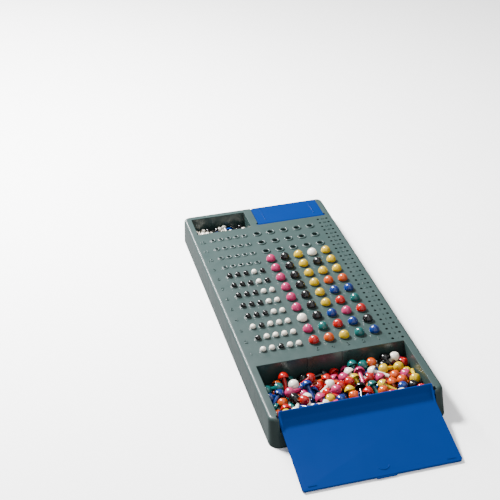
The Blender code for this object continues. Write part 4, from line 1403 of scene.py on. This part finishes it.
def build_stage(game):
    """Plain pale floor, soft studio light and the camera."""
    stage = game.stage
    add_floor(stage)
    world = bpy.data.worlds.new("studio")
    world.use_nodes = True
    background = world.node_tree.nodes["Background"]
    background.inputs["Color"].default_value = (1.0, 1.0, 1.0, 1.0)
    background.inputs["Strength"].default_value = stage.sky
    bpy.context.scene.world = world
    lights = {name: add_light(name, getattr(stage, name), *values) for name, values in LIGHTS.items()}
    strip = lights["strip_light"]
    ahead = (Vector(STRIP_AIM) - strip.location).normalized()
    long_way = Vector(STRIP_WAY)
    across = (long_way - ahead * long_way.dot(ahead)).normalized()
    strip.rotation_euler = Matrix((across, (-ahead).cross(across), -ahead)).transposed().to_euler()
    camera = bpy.data.cameras.new("camera")
    camera.sensor_width = SENSOR_WIDTH
    camera.lens = stage.focal
    camera.clip_start, camera.clip_end = CLIP
    item = link(bpy.data.objects.new("camera", camera))
    right, down, forward = (Vector(row) for row in CAMERA_ROWS)
    turn = Matrix((right, -down, -forward)).transposed()
    item.matrix_world = Matrix.Translation(CAMERA_PLACE) @ turn.to_4x4()
    bpy.context.scene.camera = item


# The add-on: settings, operators and panel


class GameSettings(PropertyGroup):
    """All settings of the game."""

    board: PointerProperty(type=BoardSettings)
    holes: PointerProperty(type=HoleSettings)
    lid: PointerProperty(type=LidSettings)
    shield: PointerProperty(type=ShieldSettings)
    pegs: PointerProperty(type=PegSettings)
    heap: PointerProperty(type=HeapSettings)
    stage: PointerProperty(type=StageSettings)


class BuildBoard(Operator):
    """Builds the moulding with its bins, recess and drilled deck"""

    bl_idname = "peg_game.board"
    bl_label = "Build board"

    def execute(self, context):
        build_board(context.scene.peg_game)
        return {"FINISHED"}


class BuildNumbers(Operator):
    """Builds the raised numbers on the deck"""

    bl_idname = "peg_game.numbers"
    bl_label = "Build numbers"

    def execute(self, context):
        build_numbers(context.scene.peg_game)
        return {"FINISHED"}


class BuildLid(Operator):
    """Builds the storage lid"""

    bl_idname = "peg_game.lid"
    bl_label = "Build storage lid"

    def execute(self, context):
        build_lid(context.scene.peg_game)
        return {"FINISHED"}


class BuildShield(Operator):
    """Builds the code shield"""

    bl_idname = "peg_game.shield"
    bl_label = "Build code shield"

    def execute(self, context):
        build_shield(context.scene.peg_game)
        return {"FINISHED"}


class BuildCodePegs(Operator):
    """Builds the code pegs in the board"""

    bl_idname = "peg_game.code_pegs"
    bl_label = "Build code pegs"

    def execute(self, context):
        build_code_pegs(context.scene.peg_game)
        return {"FINISHED"}


class BuildKeyPegs(Operator):
    """Builds the key pegs in the board"""

    bl_idname = "peg_game.key_pegs"
    bl_label = "Build key pegs"

    def execute(self, context):
        build_key_pegs(context.scene.peg_game)
        return {"FINISHED"}


class BuildSecretCode(Operator):
    """Builds the hidden code under the shield"""

    bl_idname = "peg_game.secret_code"
    bl_label = "Build secret code"

    def execute(self, context):
        build_secret_code(context.scene.peg_game)
        return {"FINISHED"}


class BuildLooseCodePegs(Operator):
    """Drops the loose code pegs into the large bin"""

    bl_idname = "peg_game.loose_code_pegs"
    bl_label = "Build loose code pegs"

    def execute(self, context):
        build_loose_code_pegs(context.scene.peg_game)
        return {"FINISHED"}


class BuildLooseKeyPegs(Operator):
    """Drops the loose key pegs into the small bin"""

    bl_idname = "peg_game.loose_key_pegs"
    bl_label = "Build loose key pegs"

    def execute(self, context):
        build_loose_key_pegs(context.scene.peg_game)
        return {"FINISHED"}


class BuildStage(Operator):
    """Sets up floor, light and camera"""

    bl_idname = "peg_game.stage"
    bl_label = "Build stage"

    def execute(self, context):
        build_stage(context.scene.peg_game)
        return {"FINISHED"}


OPERATORS = (BuildBoard, BuildNumbers, BuildLid, BuildShield, BuildCodePegs, BuildKeyPegs, BuildSecretCode)
OPERATORS += (BuildLooseCodePegs, BuildLooseKeyPegs, BuildStage)


class GamePanel(Panel):
    """Settings and operators of the game in the sidebar"""

    bl_idname = "VIEW3D_PT_peg_game"
    bl_label = "Code breaking peg game"
    bl_space_type = "VIEW_3D"
    bl_region_type = "UI"
    bl_category = "Peg game"

    def draw(self, context):
        game = context.scene.peg_game
        for title in ("board", "holes", "lid", "shield", "pegs", "heap", "stage"):
            group = getattr(game, title)
            box = self.layout.box()
            box.label(text=title.capitalize())
            for key in group.__annotations__:
                box.prop(group, key)
        for operator in OPERATORS:
            self.layout.operator(operator.bl_idname)


GROUPS = (BoardSettings, HoleSettings, LidSettings, ShieldSettings, PegSettings, HeapSettings, StageSettings)
GROUPS += (GameSettings,)
CLASSES = (*GROUPS, *OPERATORS, GamePanel)


def register():
    """Registers the add-on."""
    for item in CLASSES:
        bpy.utils.register_class(item)
    bpy.types.Scene.peg_game = PointerProperty(type=GameSettings)


def unregister():
    """Removes the add-on."""
    del bpy.types.Scene.peg_game
    for item in reversed(CLASSES):
        bpy.utils.unregister_class(item)


def main():
    """Builds every piece and the stage."""
    register()
    for operator in OPERATORS:
        group, name = operator.bl_idname.split(".")
        outcome = getattr(getattr(bpy.ops, group), name)()
        if outcome != {"FINISHED"}:
            raise RuntimeError(f"{operator.bl_label} didn't finish")


if __name__ == "__main__":
    main()
